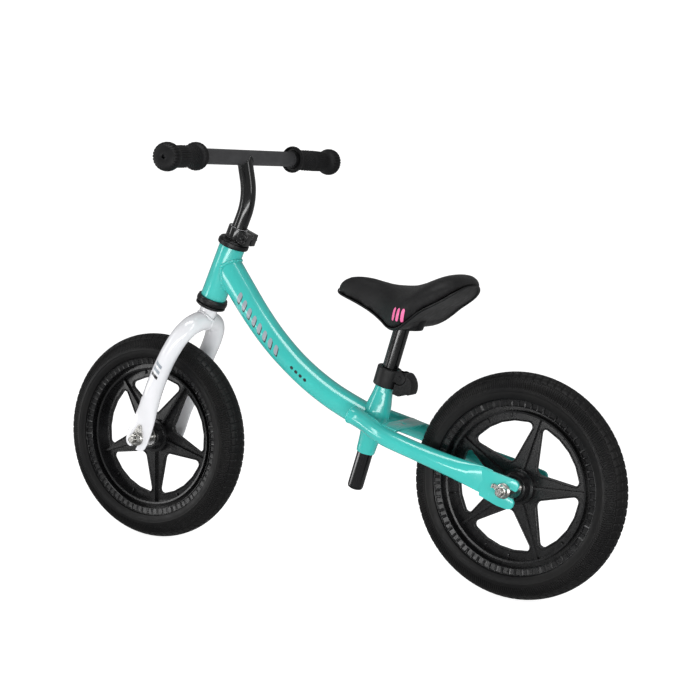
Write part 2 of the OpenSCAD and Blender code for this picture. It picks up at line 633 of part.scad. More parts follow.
module saddle_bolt() {
    color(zinc) on_seat() translate([0, 0, 247]) rotate([90, 0, 0]) {
        cylinder(r = 2.5, h = 29, center = true);
    }
}

head_tube();
main_tube();
seat_tube();
chainstay_left();
chainstay_right();
rear_dropout_left();
rear_dropout_right();
stay_bridge();
headset_cup_lower();
headset_cup_upper();
headset_bearings();
seat_clamp();
clamp_pin();
clamp_lever();
rear_axle();
rear_axle_nuts();
rear_tab_washers();
rear_axle_spacers();
rear_hub_sleeve();
rear_tyre();
rear_rim();
rear_hub_bearings();
fork_steerer();
fork_leg_left();
fork_leg_right();
crown_race();
headset_top_cap();
stem_clamp();
stem_clamp_bolt();
front_axle();
front_axle_nuts();
front_tab_washers();
front_axle_spacers();
front_hub_sleeve();
front_tyre();
front_rim();
front_hub_bearings();
stem();
handlebar();
grip_left();
grip_right();
stem_plug();
seat_post();
seat_post_plug();
saddle_base();
saddle_cover();
saddle_bolt();
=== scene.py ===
import math
import bpy
import bmesh
import numpy as np
from mathutils import Matrix, Vector


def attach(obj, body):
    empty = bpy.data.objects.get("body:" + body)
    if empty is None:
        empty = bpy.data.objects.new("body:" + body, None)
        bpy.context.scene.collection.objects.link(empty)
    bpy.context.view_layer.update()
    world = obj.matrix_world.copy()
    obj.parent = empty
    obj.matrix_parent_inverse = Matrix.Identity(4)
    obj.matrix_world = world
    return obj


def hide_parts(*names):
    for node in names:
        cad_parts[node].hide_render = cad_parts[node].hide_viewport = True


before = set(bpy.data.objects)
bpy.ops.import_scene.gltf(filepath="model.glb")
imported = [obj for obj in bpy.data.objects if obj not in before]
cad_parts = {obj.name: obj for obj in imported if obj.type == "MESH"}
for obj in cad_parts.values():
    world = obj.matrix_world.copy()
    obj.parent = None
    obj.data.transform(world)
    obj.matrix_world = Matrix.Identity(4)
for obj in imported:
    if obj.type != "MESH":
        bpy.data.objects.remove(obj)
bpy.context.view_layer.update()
MM = 0.001
HL = math.radians(21.8)
SL = math.radians(15.6)
HEAD_O = np.array([289.4, 0.0, 152.5])
SEAT_O = np.array([-46.3, 0.0, 117.0])
TAU = 2 * math.pi


# ------------------------------------------------------------------ frames
def head(p):
    p = np.asarray(p, float)
    c, s = math.cos(HL), math.sin(HL)
    return np.stack([HEAD_O[0] + p[..., 0] * c - p[..., 2] * s, p[..., 1], HEAD_O[2] + p[..., 0] * s + p[..., 2] * c], -1)


def seat(p):
    p = np.asarray(p, float)
    c, s = math.cos(SL), math.sin(SL)
    return np.stack([SEAT_O[0] + p[..., 0] * c - p[..., 2] * s, p[..., 1], SEAT_O[2] + p[..., 0] * s + p[..., 2] * c], -1)


def wheel_at(x):
    """local Z becomes +Y, as on the wheels' axles"""
    def f(p):
        p = np.asarray(p, float)
        return np.stack([x + p[..., 0], p[..., 2], 152.5 - p[..., 1]], -1)
    return f


rear_at, front_at = wheel_at(-298.0), wheel_at(298.0)
row = lambda p: np.asarray(p, float)
BAR_C = None


def flip_y(f):
    def g(p):
        q = np.array(f(p), float)
        q[..., 1] *= -1
        return q
    return g


# ------------------------------------------------------------------ mesh helpers
def new_object(name, verts, faces, mat, body, smooth=True, angle=40, uvs=None, fix=True):
    me = bpy.data.meshes.new(name)
    me.from_pydata([tuple(v) for v in np.asarray(verts, float) * MM], [], [tuple(f) for f in faces])
    me.update()
    if uvs is not None:
        lay = me.uv_layers.new(name="UVMap")
        idx = np.empty(len(me.loops), dtype=np.int32)
        me.loops.foreach_get("vertex_index", idx)
        lay.data.foreach_set("uv", np.asarray(uvs, float)[idx].ravel())
    if fix:
        bm = bmesh.new()
        bm.from_mesh(me)
        bmesh.ops.recalc_face_normals(bm, faces=bm.faces)
        bm.to_mesh(me)
        bm.free()
    if smooth:
        me.polygons.foreach_set("use_smooth", np.ones(len(me.polygons), dtype=bool))
        me.set_sharp_from_angle(angle=math.radians(angle))
    o = bpy.data.objects.new(name, me)
    bpy.context.scene.collection.objects.link(o)
    if mat:
        me.materials.append(mat)
    if body:
        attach(o, body)
    return o


def grid(P, close_u=False, close_v=True, cap0=False, cap1=False, base=0):
    """P is (nu, nv, 3); returns vertices and faces of the surface"""
    nu, nv = P.shape[:2]
    i, j = np.meshgrid(np.arange(nu if close_u else nu - 1), np.arange(nv if close_v else nv - 1), indexing="ij")
    i, j = i.ravel(), j.ravel()
    i2, j2 = (i + 1) % nu, (j + 1) % nv
    F = np.stack([i * nv + j, i * nv + j2, i2 * nv + j2, i2 * nv + j], 1) + base
    faces = [tuple(int(v) for v in f) for f in F]
    if cap0:
        faces.append(tuple(base + k for k in range(nv)))
    if cap1:
        faces.append(tuple(base + (nu - 1) * nv + k for k in range(nv)))
    return P.reshape(-1, 3), faces


def lathe(name, profile, at, mat, body, seg=96, closed=True, bump=None, angle=35):
    """profile is [(r, z)], turned about local Z of the frame 'at'; bump(r, z, angle) -> r"""
    pr = np.array(profile, float)
    a = np.arange(seg) * TAU / seg
    r = pr[:, 0][:, None] * np.ones(seg)
    z = pr[:, 1][:, None] * np.ones(seg)
    if bump is not None:
        r = bump(r, z, a[None, :] * np.ones_like(r))
    P = at(np.stack([r * np.cos(a), r * np.sin(a), z], -1))
    v, f = grid(P, close_u=closed, close_v=True)
    return new_object(name, v, f, mat, body, angle=angle)


def rounded(profile, rad=0.6, n=4):
    """rounds the convex and concave corners of a closed profile"""
    p = [np.array(q, float) for q in profile]
    out = []
    m = len(p)
    for k in range(m):
        a, b, c = p[k - 1], p[k], p[(k + 1) % m]
        u, w = a - b, c - b
        lu, lw = np.linalg.norm(u), np.linalg.norm(w)
        t = min(rad, 0.45 * lu, 0.45 * lw)
        s0, s1 = b + u / lu * t, b + w / lw * t
        for i in range(n + 1):
            x = i / n
            out.append(tuple((1 - x) ** 2 * s0 + 2 * x * (1 - x) * b + x * x * s1))
    return out


def catmull(pts, n):
    p = np.array(pts, float)
    m = len(p) - 1
    out = []
    for i in range(m):
        p0, p1, p2, p3 = p[max(i - 1, 0)], p[i], p[i + 1], p[min(i + 2, m)]
        for k in range(n):
            t = k / n
            out.append(0.5 * (2 * p1 + (p2 - p0) * t + (2 * p0 - 5 * p1 + 4 * p2 - p3) * t * t + (3 * p1 - p0 - 3 * p2 + p3) * t ** 3))
    out.append(p[m])
    return np.array(out)


def tangents(p, t0=None, t1=None):
    t = np.gradient(p, axis=0)
    if t0 is not None:
        t[0] = t0
    if t1 is not None:
        t[-1] = t1
    return t / np.linalg.norm(t, axis=1)[:, None]


def sweep_rings(path, ref, a, b, m=64, t0=None, t1=None, ab_swap=False):
    """rings round a path; a is the half size across ref, b the half size along ref"""
    t = tangents(path, t0, t1)
    ref = np.asarray(ref, float)
    v = ref - (t @ ref)[:, None] * t
    v /= np.linalg.norm(v, axis=1)[:, None]
    u = np.cross(v, t)
    k = np.arange(m) * TAU / m
    return (path[:, None, :] + np.asarray(a)[:, None, None] * np.cos(k)[None, :, None] * u[:, None, :]
            + np.asarray(b)[:, None, None] * np.sin(k)[None, :, None] * v[:, None, :])


def tube(name, path, ref, a, b, mat, body, m=64, caps=(True, True), t0=None, t1=None, at=row, uv=False):
    n = len(path)
    a = np.full(n, a) if np.isscalar(a) else np.asarray(a)
    b = np.full(n, b) if np.isscalar(b) else np.asarray(b)
    P = at(sweep_rings(path, ref, a, b, m, t0, t1))
    v, f = grid(P, cap0=caps[0], cap1=caps[1])
    uvs = None
    if uv:
        d = np.concatenate([[0], np.cumsum(np.linalg.norm(np.diff(path, axis=0), axis=1))])
        uvs = np.stack(np.meshgrid(d / 100.0, np.arange(m) / m, indexing="ij"), -1).reshape(-1, 2)
    return new_object(name, v, f, mat, body, uvs=uvs)


def bead(name, curve, mat, body, r=1.6, pitch=2.4, closed=True, seed=3):
    """a weld bead: a thin rippled roll along a curve (mm, row frame)"""
    c = np.asarray(curve, float)
    if closed:
        c = np.vstack([c, c[:1]])
    d = np.concatenate([[0], np.cumsum(np.linalg.norm(np.diff(c, axis=0), axis=1))])
    n = max(int(d[-1] / 0.45), 40)
    s = np.linspace(0, d[-1], n, endpoint=not closed)
    q = np.stack([np.interp(s, d, c[:, k]) for k in range(3)], 1)
    w = np.array([0.25, 0.5, 0.25])
    for _ in range(3):
        if closed:
            q = np.roll(q, 1, 0) * w[0] + q * w[1] + np.roll(q, -1, 0) * w[2]
    t = (np.roll(q, -1, 0) - np.roll(q, 1, 0)) if closed else np.gradient(q, axis=0)
    t /= np.linalg.norm(t, axis=1)[:, None] + 1e-12
    ref = np.array([0.31, 0.17, 0.93])
    v = ref - (t @ ref)[:, None] * t
    v /= np.linalg.norm(v, axis=1)[:, None]
    u = np.cross(v, t)
    rng = np.random.RandomState(seed)
    ph = s / pitch * TAU / 2 + 0.35 * np.interp(s, np.linspace(0, d[-1], 14), rng.rand(14))
    rr = r * (0.82 + 0.24 * np.abs(np.sin(ph))) * (0.94 + 0.12 * np.interp(s, np.linspace(0, d[-1], 18), np.append(rng.rand(17), 0)))
    m = 14
    k = np.arange(m) * TAU / m
    P = q[:, None, :] + rr[:, None, None] * (np.cos(k)[None, :, None] * u[:, None, :] + np.sin(k)[None, :, None] * v[:, None, :])
    vv, f = grid(P, close_u=closed, cap0=not closed, cap1=not closed)
    return new_object(name, vv, f, mat, body, angle=70)


def boolean_cut(o, cutter, angle=35):
    mod = o.modifiers.new("cut", "BOOLEAN")
    mod.operation = "DIFFERENCE"
    mod.solver = "EXACT"
    mod.object = cutter
    apply_mods(o)
    bpy.data.objects.remove(cutter, do_unlink=True)
    o.data.polygons.foreach_set("use_smooth", np.ones(len(o.data.polygons), dtype=bool))
    o.data.set_sharp_from_angle(angle=math.radians(angle))


def apply_mods(o):
    dg = bpy.context.evaluated_depsgraph_get()
    dg.update()
    me = bpy.data.meshes.new_from_object(o.evaluated_get(dg))
    me.name = o.name
    o.modifiers.clear()
    o.data = me


def prism(name, outline, z0, z1, at):
    """closed prism from a 2D outline in local XY, from z0 to z1"""
    n = len(outline)
    o = np.array(outline, float)
    v = np.vstack([np.c_[o, np.full(n, z0)], np.c_[o, np.full(n, z1)]])
    faces = [tuple(range(n)), tuple(range(n, 2 * n))] + [(k, (k + 1) % n, n + (k + 1) % n, n + k) for k in range(n)]
    return new_object(name, at(v), faces, None, None, smooth=False)


def bevelled(o, w=0.8, seg=3, angle=35):
    mod = o.modifiers.new("b", "BEVEL")
    mod.width = w * MM
    mod.segments = seg
    mod.limit_method = "ANGLE"
    mod.angle_limit = math.radians(30)
    mod.harden_normals = False
    apply_mods(o)
    o.data.polygons.foreach_set("use_smooth", np.ones(len(o.data.polygons), dtype=bool))
    o.data.set_sharp_from_angle(angle=math.radians(angle))
    return o


# ------------------------------------------------------------------ materials
def srgb(r, g, b):
    f = lambda c: c / 12.92 if c <= 0.04045 else ((c + 0.055) / 1.055) ** 2.4
    return (f(r / 255), f(g / 255), f(b / 255), 1.0)


class Mat:
    """small helper round a Principled material with an object-space coordinate"""

    def __init__(self, name, base, rough, metallic=0.0, **sockets):
        self.m = bpy.data.materials.new(name)
        self.m.use_nodes = True
        self.nt = self.m.node_tree
        self.n = self.nt.nodes
        self.p = self.n["Principled BSDF"]
        self.p.inputs["Base Color"].default_value = base
        self.p.inputs["Roughness"].default_value = rough
        self.p.inputs["Metallic"].default_value = metallic
        for k, v in sockets.items():
            self.p.inputs[k.replace("_", " ")].default_value = v
        self.m.diffuse_color = base
        self.tc = self.n.new("ShaderNodeTexCoord")
        self.height = None

    def link(self, a, b):
        self.nt.links.new(a, b)

    def coord(self, kind="Object", scale=(1, 1, 1)):
        mp = self.n.new("ShaderNodeMapping")
        mp.inputs["Scale"].default_value = scale
        self.link(self.tc.outputs[kind], mp.inputs["Vector"])
        return mp.outputs["Vector"]

    def noise(self, scale, detail=3.0, rough=0.5, vec=None, dist=0.0):
        t = self.n.new("ShaderNodeTexNoise")
        t.inputs["Scale"].default_value = scale
        t.inputs["Detail"].default_value = detail
        t.inputs["Roughness"].default_value = rough
        t.inputs["Distortion"].default_value = dist
        self.link(vec or self.coord(), t.inputs["Vector"])
        return t.outputs["Fac"]

    def voronoi(self, scale, vec=None, feature="F1", rand=1.0, out="Distance"):
        t = self.n.new("ShaderNodeTexVoronoi")
        t.feature = feature
        t.inputs["Scale"].default_value = scale
        t.inputs["Randomness"].default_value = rand
        self.link(vec or self.coord(), t.inputs["Vector"])
        return t.outputs[out]

    def ramp(self, fac, stops):
        r = self.n.new("ShaderNodeValToRGB")
        e = r.color_ramp.elements
        while len(e) < len(stops):
            e.new(0.5)
        for el, (pos, col) in zip(e, stops):
            el.position = pos
            el.color = col if len(col) == 4 else (*col, 1.0)
        self.link(fac, r.inputs["Fac"])
        return r.outputs["Color"]

    def rng(self, fac, a, b, c, d):
        r = self.n.new("ShaderNodeMapRange")
        for k, v in zip(("From Min", "From Max", "To Min", "To Max"), (a, b, c, d)):
            r.inputs[k].default_value = v
        self.link(fac, r.inputs["Value"])
        return r.outputs["Result"]

    def math(self, op, a, b=0.0, clamp=False):
        r = self.n.new("ShaderNodeMath")
        r.operation = op
        r.use_clamp = clamp
        for k, v in ((0, a), (1, b)):
            if isinstance(v, (int, float)):
                r.inputs[k].default_value = v
            else:
                self.link(v, r.inputs[k])
        return r.outputs[0]

    def mix(self, fac, a, b):
        r = self.n.new("ShaderNodeMix")
        r.data_type = "RGBA"
        for k, v in (("Factor", fac), ("A", a), ("B", b)):
            s = [q for q in r.inputs if q.name == k and (k == "Factor" and q.type == "VALUE" or k != "Factor" and q.type == "RGBA")][0]
            if isinstance(v, (int, float, tuple)):
                s.default_value = v
            else:
                self.link(v, s)
        return [q for q in r.outputs if q.type == "RGBA"][0]

    def color(self, out):
        self.link(out, self.p.inputs["Base Color"])
        return self

    def rough(self, out):
        self.link(out, self.p.inputs["Roughness"])
        return self

    def bump(self, out, strength, dist):
        b = self.n.new("ShaderNodeBump")
        b.inputs["Strength"].default_value = strength
        b.inputs["Distance"].default_value = dist
        self.link(out, b.inputs["Height"])
        if self.height is not None:
            self.link(self.height, b.inputs["Normal"])
        self.height = b.outputs["Normal"]
        self.link(self.height, self.p.inputs["Normal"])
        return self


def paint(name, base, dark, rough=0.22, coat=1.0, peel=0.05):
    m = Mat(name, base, rough, 0.0, Coat_Weight=coat, Coat_Roughness=0.06, Coat_IOR=1.5, IOR=1.5)
    n = m.noise(9.0, 4.0)
    m.color(m.mix(m.rng(n, 0.35, 0.7, 0.0, 1.0), base, dark))
    m.rough(m.rng(m.noise(60.0, 3.0), 0.3, 0.7, rough - 0.04, rough + 0.06))
    m.bump(m.noise(420.0, 2.0), peel, 0.0004)
    m.bump(m.noise(55.0, 2.0), peel, 0.0008)
    return m


TURQ = srgb(60, 186, 178)
TURQ_D = srgb(48, 173, 166)
M_TURQ = paint("paint_turquoise", TURQ, TURQ_D)
M_WHITE = paint("paint_white", srgb(226, 226, 229), srgb(219, 220, 224), rough=0.2)
M_STEM = paint("paint_gloss_black", (0.003, 0.003, 0.0033, 1), (0.0045, 0.0045, 0.005, 1), rough=0.16, coat=0.6)


def plastic(name, base, lo, hi, grain=900.0, strength=0.25, dist=0.0003, spec=0.45):
    m = Mat(name, base, (lo + hi) / 2, 0.0)
    m.p.inputs["Specular IOR Level"].default_value = spec
    n = m.noise(38.0, 5.0, 0.6)
    light = tuple(min(1.0, c * 1.5 + 0.003) for c in base[:3]) + (1.0,)
    m.color(m.mix(m.rng(n, 0.4, 0.75, 0.0, 0.8), base, light))
    m.rough(m.rng(m.noise(130.0, 4.0), 0.3, 0.7, lo, hi))
    m.bump(m.noise(grain, 3.0), strength, dist)
    return m


M_HEADSET = plastic("satin_black_ring", (0.005, 0.005, 0.0055, 1), 0.26, 0.36, 700, 0.1, spec=0.4)
M_CLAMP = plastic("clamp_plastic", (0.005, 0.005, 0.0055, 1), 0.36, 0.5, 900, 0.3, 0.0004, 0.35)
M_BASE = plastic("saddle_shell_plastic", (0.004, 0.004, 0.0045, 1), 0.34, 0.46, 800, 0.2, spec=0.3)
M_RIM = plastic("rim_plastic", (0.004, 0.004, 0.0045, 1), 0.22, 0.32, 1300, 0.05, 0.0002, 0.5)
M_BAR = plastic("bar_matte_paint", (0.032, 0.032, 0.034, 1), 0.40, 0.5, 1500, 0.25, 0.0002, 0.45)
M_GRIP = plastic("grip_rubber", (0.0045, 0.0045, 0.005, 1), 0.42, 0.56, 1100, 0.3, 0.0003, 0.28)

# pebbled lever: round speckles of two depths
M_LEVER = plastic("lever_plastic", (0.005, 0.005, 0.0055, 1), 0.34, 0.46, 900, 0.2, spec=0.35)
_v = M_LEVER.voronoi(520.0)
M_LEVER.bump(M_LEVER.rng(_v, 0.0, 0.5, 1.0, 0.0), 0.6, 0.0008)

# tyre: matte foam, faintly browned in noisy patches, fine pores
M_TYRE = Mat("tyre_foam", (0.005, 0.005, 0.0055, 1), 0.6)
M_TYRE.p.inputs["Specular IOR Level"].default_value = 0.22
_n = M_TYRE.noise(22.0, 6.0, 0.65)
_c = M_TYRE.mix(M_TYRE.rng(_n, 0.4, 0.72, 0.0, 1.0), (0.0040, 0.0040, 0.0043, 1), (0.0075, 0.0072, 0.0070, 1))
M_TYRE.color(_c)
M_TYRE.rough(M_TYRE.rng(M_TYRE.noise(90.0, 4.0), 0.3, 0.7, 0.34, 0.48))
M_TYRE.bump(M_TYRE.noise(1500.0, 3.0), 0.25, 0.0003)
M_TYRE.bump(M_TYRE.voronoi(700.0), 0.12, 0.0003)

# saddle skin: pebbled synthetic leather
M_SKIN = Mat("saddle_skin", (0.004, 0.004, 0.0045, 1), 0.44, 0.0)
M_SKIN.p.inputs["Specular IOR Level"].default_value = 0.3
M_SKIN.p.inputs["Sheen Weight"].default_value = 0.02
_v = M_SKIN.voronoi(760.0, vec=None, feature="DISTANCE_TO_EDGE")
_n = M_SKIN.noise(26.0, 4.0)
M_SKIN.color(M_SKIN.mix(M_SKIN.rng(_n, 0.4, 0.7, 0.0, 1.0), (0.0038, 0.0038, 0.0042, 1), (0.0066, 0.0066, 0.0072, 1)))
M_SKIN.rough(M_SKIN.rng(M_SKIN.noise(220.0, 3.0), 0.3, 0.7, 0.38, 0.50))
M_SKIN.bump(M_SKIN.rng(_v, 0.0, 0.25, 0.0, 1.0), 0.35, 0.00035)
M_SKIN.bump(M_SKIN.noise(1800.0, 2.0), 0.15, 0.0002)
M_PIPE = plastic("saddle_piping", (0.005, 0.005, 0.0055, 1), 0.36, 0.46, 1000, 0.2, spec=0.35)


def metal(name, base, lo, hi, brush=(1, 1, 1), scale=300.0, strength=0.12):
    m = Mat(name, base, (lo + hi) / 2, 1.0)
    n = m.noise(scale, 4.0, 0.6, vec=m.coord(scale=brush))
    m.rough(m.rng(n, 0.3, 0.7, lo, hi))
    m.color(m.mix(m.rng(m.noise(80.0, 4.0), 0.35, 0.7, 0.0, 1.0), base, tuple(c * 0.72 for c in base[:3]) + (1.0,)))
    m.bump(n, strength, 0.0003)
    return m


M_ZINC = metal("zinc_plate", (0.62, 0.61, 0.58, 1), 0.2, 0.36, (1, 1, 1), 420.0)
M_STEEL = metal("ground_steel", (0.60, 0.60, 0.60, 1), 0.16, 0.3, (1, 9, 1), 260.0)
M_PINK = paint("print_pink", srgb(240, 110, 165), srgb(232, 100, 156), rough=0.4, coat=0.2)
M_GREY = paint("print_grey", srgb(150, 158, 165), srgb(138, 146, 154), rough=0.4, coat=0.5)
M_INK = paint("print_black", (0.012, 0.012, 0.014, 1), (0.016, 0.016, 0.018, 1), rough=0.35, coat=0.6)


# ------------------------------------------------------------------ main tube
MAIN_PTS = [[188, 0, 424], [153, 0, 378.5], [127, 0, 346.3], [98.5, 0, 315.8], [67, 0, 288.2],
            [32.7, 0, 263.8], [-4.8, 0, 242.8], [-44.6, 0, 225.7], [-76, 0, 214.5]]
main_path = catmull(MAIN_PTS, 30)


def main_ab(x):
    a = np.interp(x, [-76, 0, 60, 110, 153, 190], [19.1, 18.5, 18.3, 19.5, 20.7, 21.1])
    return a, np.full_like(a, 18.0)


def head_dist(p):
    """distance of points from the steering axis, and signed forward offset"""
    d = p - HEAD_O
    f = d[..., 0] * math.cos(HL) + d[..., 2] * math.sin(HL)
    return np.hypot(f, d[..., 1]), f


def seat_dist(p):
    d = p - SEAT_O
    f = d[..., 0] * math.cos(SL) + d[..., 2] * math.sin(SL)
    return np.hypot(f, d[..., 1]), f


def coped_grid(P, start_ok, end_ok, nu=150):
    """P (n, m, 3): each long line is cut where start_ok / end_ok (signed, >0 outside) change sign"""
    n, m = P.shape[:2]
    out = np.zeros((nu, m, 3))
    t = np.arange(n)
    s_curve, e_curve = np.zeros((m, 3)), np.zeros((m, 3))
    for k in range(m):
        line = P[:, k]
        ga, gb = start_ok(line), end_ok(line)
        i0 = 0.0
        bad = np.where(ga <= 0)[0]
        if len(bad):
            i = bad[-1]
            if i < n - 1:
                i0 = i + (0 - ga[i]) / (ga[i + 1] - ga[i])
        i1 = float(n - 1)
        bad = np.where(gb <= 0)[0]
        if len(bad):
            i = bad[0]
            if i > 0:
                i1 = i - 1 + gb[i - 1] / (gb[i - 1] - gb[i])
        tt = np.linspace(i0, i1, nu)
        for c in range(3):
            out[:, k, c] = np.interp(tt, t, line[:, c])
        s_curve[k], e_curve[k] = out[0, k], out[-1, k]
    return out, s_curve, e_curve


a_, b_ = main_ab(main_path[:, 0])
main_rings = sweep_rings(main_path, [0, 1, 0], a_, b_, 96)


def main_start(r):
    def f(line):
        d, fwd = head_dist(line)
        return np.where(fwd > 0, -1.0, d - r)
    return f


def main_end(r):
    def f(line):
        d, fwd = seat_dist(line)
        return np.where(fwd < 0, -1.0, d - r)
    return f


P, _, _ = coped_grid(main_rings, main_start(18.2), main_end(12.0))
_, w_head, w_seat = coped_grid(main_rings, main_start(19.0), main_end(12.7), nu=2)
d_ = np.concatenate([[0], np.cumsum(np.linalg.norm(np.diff(P.mean(1), axis=0), axis=1))])
uv_ = np.stack(np.meshgrid(d_ / 100.0, np.arange(96) / 96, indexing="ij"), -1).reshape(-1, 2)
v_, f_ = grid(P, cap0=True, cap1=True)
main_obj = new_object("main_tube_skin", v_, f_, M_TURQ.m, "frame", uvs=uv_)
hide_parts("main_tube")
bead("weld_head_main", w_head, M_TURQ.m, "frame", r=2.4, pitch=3.4)


def main_surface_f(p):
    """>0 outside the main tube, <0 inside, about the elliptic section"""
    p = np.asarray(p, float)
    flat = main_path[:, [0, 2]]
    q = p[..., [0, 2]].reshape(-1, 2)
    d = np.linalg.norm(q[:, None, :] - flat[None], axis=2)
    i = d.argmin(1)
    a, b = main_ab(flat[i, 0])
    y = p[..., 1].reshape(-1)
    return (np.sqrt((d[np.arange(len(i)), i] / a) ** 2 + (y / b) ** 2) - 1).reshape(p.shape[:-1])


# ------------------------------------------------------------------ head tube, headset
o = lathe("head_tube_skin", rounded([(17, 230.5), (19, 230.5), (19, 313), (17, 313)], 0.7), head, M_TURQ.m, "frame", 128)
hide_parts("head_tube")
o = lathe("headset_ring_lower", rounded([(16.5, 221.2), (21.4, 221.2), (22.9, 222.6), (22.9, 227.2), (22.0, 228.2), (22.0, 230.45),
          (17.1, 230.45), (17.1, 229), (16.5, 229)], 0.5), head, M_HEADSET.m, "frame", 128)
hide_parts("headset_cup_lower")
o = lathe("headset_ring_upper", rounded([(16.5, 320.4), (21.6, 320.4), (22.9, 319.2), (22.9, 314.6), (22.0, 313.05), (17.1, 313.05),
          (17.1, 315), (16.5, 315)], 0.5), head, M_HEADSET.m, "frame", 128)
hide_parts("headset_cup_upper")
o = lathe("headset_cap_top", rounded([(12.75, 321.05), (21.5, 321.05), (21.5, 322.1), (19.4, 323.3), (12.75, 323.3)], 0.4), head, M_HEADSET.m, "fork", 128)
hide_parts("headset_top_cap")
o = lathe("crown_race_ring", rounded([(12.75, 215.1), (18.6, 215.1), (22.1, 217.2), (22.1, 219.8), (21, 220.4), (12.75, 220.4)], 0.4), head, M_HEADSET.m, "fork", 128)
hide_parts("crown_race")

# ------------------------------------------------------------------ seat tube
o = lathe("seat_tube_skin", rounded([(11.2, 54.9), (12.7, 54.9), (13.3, 58), (13.7, 66), (14.4, 76), (15.8, 90), (17.8, 104), (18.6, 112), (18.2, 120), (16.6, 130), (14.8, 139), (13.4, 147), (12.8, 153), (12.7, 160), (12.7, 179.8), (11.2, 179.8)], 0.5),
          seat, M_TURQ.m, "frame", 96)
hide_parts("seat_tube")

# ------------------------------------------------------------------ chainstays
STAY = [[-52, 25, 224], [-64, 26.5, 219.8], [-80, 32, 215], [-98, 40, 208.8], [-118, 46, 202.4], [-140, 48, 196.5],
        [-170, 48.3, 188.5], [-200, 48, 180.5], [-225, 47, 173.8], [-246, 46, 168.2], [-268, 45.5, 162.2]]
stay_path = catmull([[-40, 22, 229]] + STAY[:-1] + [[-262, 45.6, 163.8], [-276, 45.5, 160.2]], 10)[10:]


def stay_ab(x):
    a = np.interp(x, [-276, -262, -250, -225, -195, -165, -40], [17.6, 17.6, 16.6, 14.6, 13.2, 12.5, 12.5])
    b = np.interp(x, [-276, -264, -256, -246, -232, -216, -190, -40], [2.3, 2.45, 4.6, 8.4, 10.8, 12.0, 12.5, 12.5])
    return a, b


sa, sb = stay_ab(stay_path[:, 0])
for side, sg in (("left", 1), ("right", -1)):
    at = row if sg > 0 else flip_y(row)
    m_ = 56
    R = sweep_rings(stay_path, [0, 1, 0], sa, sb, m_)
    P = at(R)
    v_, f_ = grid(P, cap0=True, cap1=True)
    o = new_object(f"chainstay_skin_{side}", v_, f_, M_TURQ.m, "frame")
    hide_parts(f"chainstay_{side}")
    # weld where the stay leaves the main tube
    pts = []
    for k in range(m_):
        g = main_surface_f(R[:, k])
        bad = np.where(g <= 0)[0]
        if len(bad) and bad[-1] < len(g) - 1:
            i = bad[-1]
            x = -g[i] / (g[i + 1] - g[i])
            pts.append(R[i, k] * (1 - x) + R[i + 1, k] * x)
        else:
            pts.append(R[0, k])
    bead(f"weld_stay_{side}", at(np.array(pts)), M_TURQ.m, "frame", r=1.1, pitch=2.8, seed=7)

# rear dropouts: flattened ends of the stays
OUT = [[-262, 180.2], [-297, 172.4], [-311.4, 169.1], [-315.6, 167.2], [-318, 164], [-318.6, 159.8], [-316.8, 155],
       [-313.4, 151.4], [-312.2, 141.6], [-313, 136.4], [-311.2, 131.8], [-307.4, 129], [-302, 128.6], [-288, 131.6], [-262, 141.8]]


def drop_outline():
    d = math.radians(197)
    c, n = np.array([math.cos(d), math.sin(d)]), np.array([-math.sin(d), math.cos(d)])
    A = np.array([-298.0, 152.5])
    # n points below the slot's direction; upper edge is -n side
    up, lo = A - n * 5.2, A + n * 5.2
    arc = [A + 5.2 * (-n * math.cos(t) - c * math.sin(t)) for t in np.linspace(0, math.pi, 14)]
    pts = [np.array(q, float) for q in OUT[:7]]
    pts += [up + c * 15.4] + [up + c * 13.0] + arc + [lo + c * 12.4] + [lo + c * 14.6]
    pts += [np.array([-313.0, 138.0])] + [np.array(q, float) for q in OUT[10:]]
    return pts


def xz_prism(name, outline, y0, y1, mat, body, w=1.0, sgn=1):
    n = len(outline)
    o2 = np.array(outline, float)
    v = np.vstack([np.c_[o2[:, 0], np.full(n, y0), o2[:, 1]], np.c_[o2[:, 0], np.full(n, y1), o2[:, 1]]])
    v[:, 1] *= sgn
    faces = [tuple(range(n)), tuple(range(n, 2 * n))] + [(k, (k + 1) % n, n + (k + 1) % n, n + k) for k in range(n)]
    o = new_object(name, v, faces, mat, body, smooth=False)
    return bevelled(o, w, 3)


for side, sg in (("left", 1), ("right", -1)):
    o = xz_prism(f"dropout_plate_{side}", drop_outline(), 43.05, 47.95, M_TURQ.m, "frame", 0.9, sg)
    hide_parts(f"rear_dropout_{side}")

# bridge strip between the stays, with its hole
n_ = 40
hole = [(2.75 * math.cos(t), 2.75 * math.sin(t)) for t in np.linspace(0, TAU, n_, endpoint=False)]


def bridge_at(p):
    p = np.asarray(p, float)
    c, s = math.cos(math.radians(15)), math.sin(math.radians(15))
    return np.stack([-120 + p[..., 0] * c - p[..., 2] * s, p[..., 1], 214.6 + p[..., 0] * s + p[..., 2] * c], -1)


o = prism("bridge_strip", [(-12, -44), (12, -44), (12, 44), (-12, 44)], -1.5, 1.5, bridge_at)
boolean_cut(o, prism("tmp", hole, -5, 5, bridge_at))
bevelled(o, 0.7, 3)
o.data.materials.append(M_TURQ.m)
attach(o, "frame"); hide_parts("stay_bridge")
for sg in (1, -1):
    for xs in (-12, 12):
        cu = bridge_at(np.array([[xs + (1.2 if xs > 0 else -1.2) * 0, sg * y, 1.6] for y in np.linspace(33.5, 41, 12)]))

